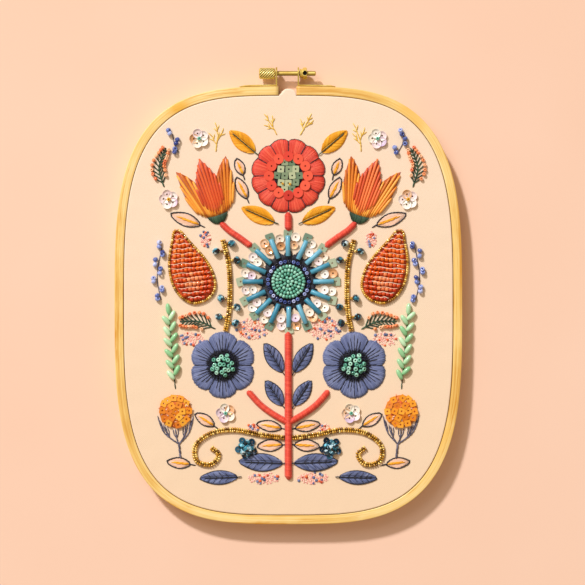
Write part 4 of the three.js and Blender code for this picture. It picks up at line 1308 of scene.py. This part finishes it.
def makeSpike(side, word):
    draw = np.random.default_rng(71 + side)
    beads, stem = Heap(), Heap()
    shape = riceBead(spike["length"], spike["radius"])
    at = np.array(spike["at"]) * [side, 1]
    tilt = -math.radians(spike["tilt"]) * side

    def lay(x, y, angle):
        spot = (*(turnedFlat([[x, y]], tilt)[0] + at), clothTop + spike["radius"])
        yaw = angle + tilt + draw.normal(0, 0.07)
        bead = shifted(shape, spot, yaw, draw.normal(0, 0.05), draw.uniform(0, 6))
        beads.add(bead, draw.uniform(0, 1))

    for i in range(spike["pairs"]):
        for hand in (-1, 1):
            angle = math.pi / 2 - hand * math.radians(spike["spread"])
            x, y = spike["length"] * 0.48 * heading(angle)
            lay(x, (i + 0.35 + 0.2 * hand) * spike["pitch"] + y, angle)
    lay(0, spike["pairs"] * spike["pitch"] + spike["length"] * 0.55, math.pi / 2)
    beads.sew("riceBeads" + word.title(), mintRice, "mint", "rice_spike_" + word)
    line = turnedFlat([[0, -4], [0, spike["pairs"] * spike["pitch"] + 1.5]], tilt)
    stemLine(stem, line + at, 0.6, draw)
    stem.sew("riceStem" + word.title(), greenThread, "green")


# Marigolds: a dome of small square sequins over orange stitches

marigold = {
    "at": (57.5, -54), "radius": 8.8, "dome": 1.1, "seeds": 120, "seedReach": 7.7,
    "rings": ((0, 1), (3.5, 6), (6.9, 12)), "sequin": 3.2,
}


def domeAt(radius):                     # how much higher the marigold's middle is
    return marigold["dome"] * (1 - (radius / marigold["radius"]) ** 2)


def makeMarigold(side, word):
    draw = np.random.default_rng(81 + side)
    at = np.array(marigold["at"]) * [side, 1]
    base = Heap()
    profile = [(0, 0), (0, 8.2), (0.6, 8.3), (1.1, 6.2), (1.6, 3.2), (1.75, 0)]
    base.add(shifted(turned(profile, 32), (*at, clothTop), pitch=math.pi / 2), 0.3)
    base.sew("marigoldPad" + word.title(), orangeThread, "orange")
    squares, seeds, paler = Heap(), Heap(), Heap()
    shape = squareSequin(marigold["sequin"], 0.2, 0.02, 0.45)
    for ring, count in marigold["rings"]:
        for i in range(count):
            turn = (i + 0.3 * ring) * fullTurn / count + draw.normal(0, 0.08)
            radius = ring + draw.normal(0, 0.15)
            spot = around(at, radius, turn, clothTop + 0.75 + domeAt(radius) + draw.uniform(0, 0.3))
            square = shifted(shape, spot, turn + draw.normal(0, 0.3), draw.normal(-0.04, 0.1))
            squares.add(square, draw.uniform(0, 1))
    for i in range(marigold["seeds"]):      # seed stitches that show between the sequins
        radius = marigold["seedReach"] * math.sqrt((i + 0.5) / marigold["seeds"])
        spot = at + radius * heading(i * goldenAngle)
        end = spot + 1.5 * heading(draw.uniform(0, fullTurn))
        target = seeds if i % 3 else paler
        rise = clothTop + 0.45 + domeAt(radius)
        stitch(target, spot, end, 0.5, 0.35, 0.15, draw.uniform(0, 1), rise, steps=5, sides=5)
    squares.sew("marigoldSequins" + word.title(), amberSequin, "orange", "marigold_" + word, flat=True)
    seeds.sew("marigoldStitches" + word.title(), flameThread, "orange")
    paler.sew("marigoldPaleStitches" + word.title(), paleThread, "orange")


# Berries: faceted crystals with a few dark sequins behind them

berries = {"at": (21.5, -72.6), "ring": 2.7, "petalRing": 4.3, "count": 5, "gem": (1.9, 3.1)}


def makeBerries(side, word):
    draw = np.random.default_rng(91 + side)
    at = np.array(berries["at"]) * [side, 1]
    gems, petals = Heap(), Heap()
    gem = crystal(*berries["gem"])
    gems.add(shifted(gem, (*at, clothTop + 2.2), 0.3, 0.5), 0.6)
    for i in range(berries["count"]):
        turn = i * fullTurn / berries["count"] + 0.2
        spot = around(at, berries["ring"], turn, clothTop + 1.35)
        gems.add(shifted(gem, spot, turn + draw.normal(0, 0.4), draw.normal(0.2, 0.3)), draw.uniform(0.1, 1))
        turn += fullTurn / berries["count"] / 2
        spot = around(at, berries["petalRing"], turn, clothTop + 0.3)
        petals.add(shifted(roundSequin(1.7, 0.2, 0.25, 0.35), spot, turn, 0.25), draw.uniform(0, 1))
    gems.sew("berries" + word.title(), crystalBead, "navy", "berries_" + word, flat=True)
    petals.sew("berryPetals" + word.title(), navySequin, "navy", flat=True)


# Scrolls and vines: gold beads in double rows, with crystals on short twigs

strand = {"step": 1.14, "apart": 0.7, "height": 0.75, "gem": (2.15, 3.4)}
scrollLine = [
    (2.5, -67.5), (14, -66), (28, -63.5), (40, -65.5), (47.5, -72), (46.5, -79.5), (39, -81), (35.5, -76),
    (39, -72.8),
]
vineLine = [(32, -12.6), (30.4, -4), (29.8, 8), (30.6, 22), (33.4, 33)]
# The height of each twig on a vine, and how far it reaches out or, below zero, in
vineTwigs = [(-9, -4.4), (-6, 4.6), (-1, -4.2), (3.5, 4.4), (23, -4.6), (27.5, 4.8), (31.5, -4.2)]


def doubleRow(heap, line, draw, under): # two rows of beads side by side over a brown cord, painted shade that darkens the gaps under and between them
    under.add(cord(np.column_stack([line, np.full(len(line), clothTop + 0.1)]), 1.6, 0.8, 6), 0.4)
    line = resampled(line, strand["step"])
    for offset in (-strand["apart"], strand["apart"]):
        strung(heap, line, stringSeed, clothTop + strand["height"], draw, offset, 0.1)


def makeScroll(side, word):
    draw = np.random.default_rng(101 + side)
    gold, under = Heap(), Heap()
    doubleRow(gold, route(mirrored(scrollLine, side), 0.5), draw, under)
    gold.sew("scroll" + word.title(), goldBead, "gold", "scroll_" + word)
    vine, gems = Heap(), Heap()
    doubleRow(vine, route(mirrored(vineLine, side), 0.5), draw, under)
    under.sew("strandCouching" + word.title(), brownThread, "gold")
    xs, heights = np.array(vineLine).T
    gem = crystal(*strand["gem"])
    for y, reach in vineTwigs:
        root = np.interp(y, heights, xs)
        away = math.copysign(1, reach)
        for k in (2.0, 3.0):
            if k < abs(reach) - 0.9:
                spot = (side * (root + away * k), y + draw.normal(0, 0.08), clothTop + 0.75)
                vine.add(shifted(smallSeed, spot, draw.normal(0, 0.15)), draw.uniform(0, 1))
        spot = (side * (root + reach), y, clothTop + 1.4)
        gems.add(shifted(gem, spot, draw.uniform(0, 3), draw.uniform(0, 0.5)), draw.uniform(0.1, 1))
    vine.sew("vine" + word.title(), goldBead, "gold", "vine_" + word)
    gems.sew("vineCrystals" + word.title(), crystalBead, "navy", flat=True)


# Blossoms: five cup sequins round a bead

blossomSpots = {"top": (45.5, 85), "outer": (61, 54), "low": (32, -55)}
blossom = {"cups": 5, "ring": 2.75}


def makeBlossoms(side, word):
    draw = np.random.default_rng(111 + side)
    cup = cupSequin()
    for which, spot in blossomSpots.items():
        at = np.array(spot, float) * [side, 1]
        cups, bead, knots = Heap(), Heap(), Heap()
        for i in range(blossom["cups"]):
            turn = (i + 0.5) * fullTurn / blossom["cups"] + draw.normal(0, 0.05)
            centre = around(at, blossom["ring"], turn, clothTop + 0.25 + 0.12 * (i % 2))
            cups.add(shifted(cup, centre, turn, draw.uniform(0.1, 0.3)), draw.uniform(0, 1))
            knots.add(shifted(holdingKnot, centre))
        bead.add(shifted(roundSeed, (*at, clothTop + 1.2), 0, math.pi / 2 - 0.15), 0.5)
        ending = which.title() + word.title()
        cups.sew("blossom" + ending, pearlMaterial, "pearl", f"blossom_{which}_{word}", flat=True)
        bead.sew("blossomBead" + ending, yellowBead if which == "outer" else mintBead, "mint")
        knots.sew("blossomKnots" + ending, brownThread, "navy")


# Leaves: slanting satin on each side of a stitched vein

leafSpots = {                           # x, y, angle, length, width
    "crown": (17, 78, 40, 17, 8), "shoulder": (7, 42.3, 24, 18.5, 8), "waist": (3, -34, 58, 17, 7.5),
    "hip": (3, -51, 56, 15, 7), "foot": (3, -80.5, 2, 22, 8.5), "root": (26, -87.5, -2, 19, 6.5),
}


def makeLeaves(side, word):
    draw = np.random.default_rng(121 + side)
    for which, (x, y, angle, length, width) in leafSpots.items():
        warm = y > 0
        turn = math.radians(angle)
        whole = leafOutline(length, width)
        leaf = Heap()
        leaf.add(pad(turnedFlat(whole, turn, (x, y)) * [side, 1], clothTop, clothTop + 0.3, 0.3), 0.3)
        for hand in (-1, 1):
            half = whole[:leafShape["steps"]] if hand < 0 else whole[leafShape["steps"]:]
            slant = hand * math.radians(38)
            for start, end in chords(half, slant, 0.44):
                if np.linalg.norm(end - start) < 0.4:
                    continue
                a, b = turnedFlat([start, end], turn, (x, y)) * [side, 1]
                stitch(leaf, a, b, 0.56, 0.3, 0.3, draw.uniform(0.1, 0.9), clothTop + 0.22, sides=5)
        thread, finishSlot = (ochreThread, "ochre") if warm else (slateThread, "slate")
        ending = which.title() + word.title()
        leaf.sew("leaf" + ending, thread, finishSlot, f"leaf_{which}_{word}")
        vein = Heap()
        spine = turnedFlat([[-1.8, 0], [length * 0.86, 0]], turn, (x, y)) * [side, 1]
        stemLine(vein, spine, 0.6, draw, clothTop + 0.5, stride=2.2)
        for k in range(0 if warm else 4):
            along = length * (0.22 + 0.16 * k)
            reach = 0.62 * width * (1 - ((along / length - 0.42) / 0.62) ** 2) * 0.62
            for hand in (-1, 1):
                line = turnedFlat([[along, 0], [along + reach * 0.9, hand * reach]], turn, (x, y))
                stemLine(vein, line * [side, 1], 0.38, draw, clothTop + 0.55, stride=1.8)
        if not warm:
            loop = turnedFlat(np.vstack([whole, whole[:1]]) * 1.01, turn, (x, y)) * [side, 1]
            stemLine(vein, loop, 0.5, draw, clothTop + 0.1, stride=1.9)
        vein.sew("vein" + ending, greenThread if warm else inkThread, "green")


for side, word in halves:
    makeSpike(side, word)
    makeMarigold(side, word)
    makeBerries(side, word)
    makeScroll(side, word)
    makeBlossoms(side, word)
    makeLeaves(side, word)
print("small motifs made")


# Fine stitchery between the motifs

def twig(heap, start, angle, length, forks, width, draw):
    start = np.array(start)
    end = start + length * heading(angle)
    bend = np.array([-math.sin(angle), math.cos(angle)]) * length * draw.uniform(-0.08, 0.08)
    stemLine(heap, route([start, (start + end) / 2 + bend, end], 0.8), width, draw, stride=2.0)
    if forks:
        for share, lean in ((0.45, 0.55), (0.7, -0.6), (1.0, 0.15)):
            lean += draw.normal(0, 0.1)
            root = start + (end - start) * share + bend * (1 - abs(2 * share - 1))
            twig(heap, root, angle + lean, length * 0.55, forks - 1, width * 0.9, draw)


outlinedLeaves = [                      # x, y, angle, length, width
    (45, 41, 20, 16, 6), (37.8, -61.4, 32, 11.5, 5), (3.5, -62.6, 10, 13, 5), (3, -71, -4, 13, 5.5),
    (21, 54.5, 62, 12, 5), (50, -81, 6, 12, 5), (23, 66.5, 66, 9, 4.5),
]
ferns = [                               # spine, and the longest side line
    ([(37.5, -12), (45, -8.3), (55, -8.3)], 5.6), ([(63.5, 60.5), (66, 70), (62.5, 80)], 4.6),
]
knotBeds = [                            # x, y, half the width, half the height, knots
    (18.5, -11.8, 8.5, 5.6, 230), (49.5, -17.2, 6.5, 3.4, 110), (42.2, 33.6, 2.8, 4.2, 64),
    (12.5, -88.3, 8, 3, 120), (18, -63, 3, 3, 40),
]
lemonTwigs = [(37, 78.5, 0.15, 8), (6, 87, -0.5, 6.5)]       # x, y, lean outwards, length
umbel = {"foot": (55, -78), "forkAt": 0.3, "reach": 9.6, "spread": 1.15, "stems": 5, "aside": 0.14}
berrySprays = [((65, 3), (67, 14), (64.5, 30)), ((56, 78), (58.5, 83), (59, 87))]


def outlinedLeaf(fills, hearts, lines, spec, side, draw):
    x, y, angle, length, width = spec
    whole = leafOutline(length, width)
    turn = math.radians(angle)

    def lay(points):
        return turnedFlat(points, turn, (x, y)) * [side, 1]

    satin(fills, lay(whole * [0.98, 0.9]), turn if side > 0 else math.pi - turn, 0.5, draw, 0.1, 0.2)
    for aside, start, end in ((-0.35, 0.16, 0.6), (0, 0.06, 0.78), (0.35, 0.12, 0.68)):
        stemLine(hearts, lay([[length * start, aside], [length * end, aside]]), 0.6, draw, clothTop + 0.15)
    stemLine(lines, lay(np.vstack([whole, whole[:1]])), 0.66, draw, stride=1.8)
    stemLine(lines, lay([[-2.5, -0.4], [0, 0]]), 0.66, draw)


def fern(lines, tips, spine, reach, side, draw):
    spine = route(mirrored(spine, side), 2.1)
    stemLine(lines, spine, 0.8, draw)
    along = np.gradient(spine, axis=0)
    for i in range(1, len(spine) - 1):
        share = i / (len(spine) - 1)
        out = reach * (1 - 0.75 * share ** 2) * min(1, 0.55 + 2 * share)
        ahead = math.atan2(along[i][1], along[i][0])
        for hand in (-1, 1):
            turn = ahead + hand * 0.72
            end = spine[i] + out * heading(turn)
            stemLine(lines, np.array([spine[i], end]), 0.72, draw)
            at = around(end, 0.7, turn, clothTop + 0.9)
            bead = shifted(roundSeed, at, turn + draw.normal(0, 0.4), draw.uniform(0.4, 1.5), 0, 0.95)
            tips.add(bead, draw.uniform(0, 1))


def umbelStems(heap, side, draw):       # stems that fan out under a marigold
    foot, crown = mirrored(umbel["foot"], side), mirrored(marigold["at"], side)
    fork = foot + (crown - foot) * umbel["forkAt"]
    stemLine(heap, np.array([foot, fork]), 1.1, draw)
    for lean in np.linspace(-umbel["spread"], umbel["spread"], umbel["stems"]):
        rim = crown + umbel["reach"] * np.array([math.sin(lean), -math.cos(lean)])
        middle = fork + (rim - fork) * 0.5 + np.array([(rim - fork)[0] * 0.22, -0.6])
        stemLine(heap, route([fork, middle, rim], 0.8), 0.75, draw, stride=2.0)
        for hand in (-1, 1):
            aside = lean + hand * umbel["aside"]
            other = crown + (umbel["reach"] - 0.2) * np.array([math.sin(aside), -math.cos(aside)])
            bent = (middle + other) / 2 + [hand * 0.4, -0.3]
            stemLine(heap, route([middle, bent, other], 0.8), 0.55, draw, stride=2.0)


def makeFillers():
    draw = np.random.default_rng(131)
    lemon, grey, dots, pale, slate, violet = Heap(), Heap(), Heap(), Heap(), Heap(), Heap()
    fills, hearts, lines, fronds, tips = Heap(), Heap(), Heap(), Heap(), Heap()
    knot = turned([(0, 0), (0.02, 0.5), (0.25, 0.66), (0.5, 0.45), (0.6, 0)], 7)
    for side in (-1, 1):
        for x, y, lean, length in lemonTwigs:
            twig(lemon, (side * x, y), math.pi / 2 + side * lean, length, 2, 0.6, draw)
        umbelStems(grey, side, draw)
        for spec in outlinedLeaves:
            outlinedLeaf(fills, hearts, lines, spec, side, draw)
        for spine, reach in ferns:
            fern(fronds, tips, spine, reach, side, draw)
        for spray in berrySprays:
            line = route(mirrored(spray, side), 4.6)
            stemLine(grey, line, 0.5, draw)
            for k, (x, y) in enumerate(line):
                away = (1 if k % 2 else -1) * 1.5
                for other in (0, 1):
                    spot = np.array([x + away, y + 2.0 * other]) + draw.normal(0, 0.3, 2)
                    at = (*spot, clothTop + 1.2)
                    bead = shifted(roundSeed, at, draw.uniform(0, 3), draw.uniform(0, 1.3), 0, 1.3)
                    violet.add(bead, draw.uniform(0, 1))
        for x, y, across, up, count in knotBeds:
            for i in range(count):
                ray = heading(i * goldenAngle + draw.normal(0, 0.2))
                ray = ray * (math.sqrt((i + 0.5) / count) + draw.normal(0, 0.03))
                spot = (side * (x + across * ray[0]), y + up * ray[1], clothTop - 0.1)
                kind = draw.uniform(0, 1)
                target, size = (slate, 1.15) if kind < 0.06 else (pale, 1.1) if kind < 0.11 else (dots, 0.66)
                size *= draw.uniform(0.85, 1.15)
                target.add(shifted(knot, spot, 0, math.pi / 2, 0, size), draw.uniform(0, 1))
    lemon.sew("lemonTwigs", lemonThread, "ochre")
    grey.sew("greyStems", greyThread, "slate")
    dots.sew("pinkKnots", pinkThread, "coral")
    pale.sew("flameKnots", flameThread, "coral")
    slate.sew("slateKnots", slateThread, "slate")
    violet.sew("violetBeads", violetBead, "navy")
    fills.sew("blushLeaves", blushThread, "pearl")
    hearts.sew("ochreHearts", ochreThread, "ochre")
    lines.sew("inkOutlines", inkThread, "navy")
    fronds.sew("fernLines", greenThread, "green")
    tips.sew("fernBeads", peachBead, "orange")


makeFillers()
print("fine stitchery made")


# Floor, light and camera

room = {                                # lengths are metres here
    "floorReach": 3.0, "sunPower": 2.9, "sunAngle": 5, "sunAim": (0.66, -1.04, -0.95),
    "fillPower": 2.4, "fillSize": 0.5, "fillAt": (-0.45, 0.5, 0.9), "fillColour": (1.0, 0.98, 0.96),
    "skyColour": (1.0, 0.79, 0.57, 1), "skyStrength": 0.42,
}


def makeStage():
    mesh = bpy.data.meshes.new("floor")
    reach = room["floorReach"]
    corners = [(x * reach, y * reach, 0) for x, y in ((-1, -1), (1, -1), (1, 1), (-1, 1))]
    mesh.from_pydata(corners, [], [(0, 1, 2, 3)])
    floor = placeIn("floor", mesh)
    finish = Finish("paleFloor", Roughness=0.85)
    finish.set("Base Color", finish.blend("#efc8b0", "#f4d1bc", finish.noise(9, 2)))
    mesh.materials.append(finish.material)
    sun = bpy.data.lights.new("keyLight", "SUN")
    sun.energy, sun.angle = room["sunPower"], math.radians(room["sunAngle"])
    key = placeIn("keyLight", sun)
    key.rotation_euler = Vector(room["sunAim"]).to_track_quat("-Z", "Y").to_euler()
    soft = bpy.data.lights.new("fillLight", "AREA")
    soft.energy, soft.size, soft.color = room["fillPower"], room["fillSize"], room["fillColour"]
    fill = placeIn("fillLight", soft)
    fill.location = room["fillAt"]
    fill.rotation_euler = (-fill.location).to_track_quat("-Z", "Y").to_euler()
    world = bpy.data.worlds.new("softRoom")
    world.use_nodes = True
    background = world.node_tree.nodes["Background"]
    background.inputs["Color"].default_value = room["skyColour"]
    background.inputs["Strength"].default_value = room["skyStrength"]
    bpy.context.scene.world = world
    bpy.context.scene.view_settings.view_transform = "Standard"


makeStage()

view = {                                # the camera stands 1.25 m above the cloth
    "millimetresPerPixel": 0.51, "imageSize": 585, "hoopPixel": (288.4, 305.3), "distance": 1.25,
    "sensor": 36,
}
camera = placeIn("camera", bpy.data.cameras.new("camera"))
half = view["imageSize"] / 2
lookX = (half - view["hoopPixel"][0]) * view["millimetresPerPixel"]
lookY = (view["hoopPixel"][1] - half) * view["millimetresPerPixel"]
target = toRow([lookX, lookY, clothTop])
camera.location = target + [0, 0, view["distance"]]
camera.data.sensor_width = view["sensor"]
shownWidth = view["imageSize"] * view["millimetresPerPixel"] * 0.001
camera.data.lens = view["sensor"] * view["distance"] / shownWidth
bpy.context.scene.camera = camera
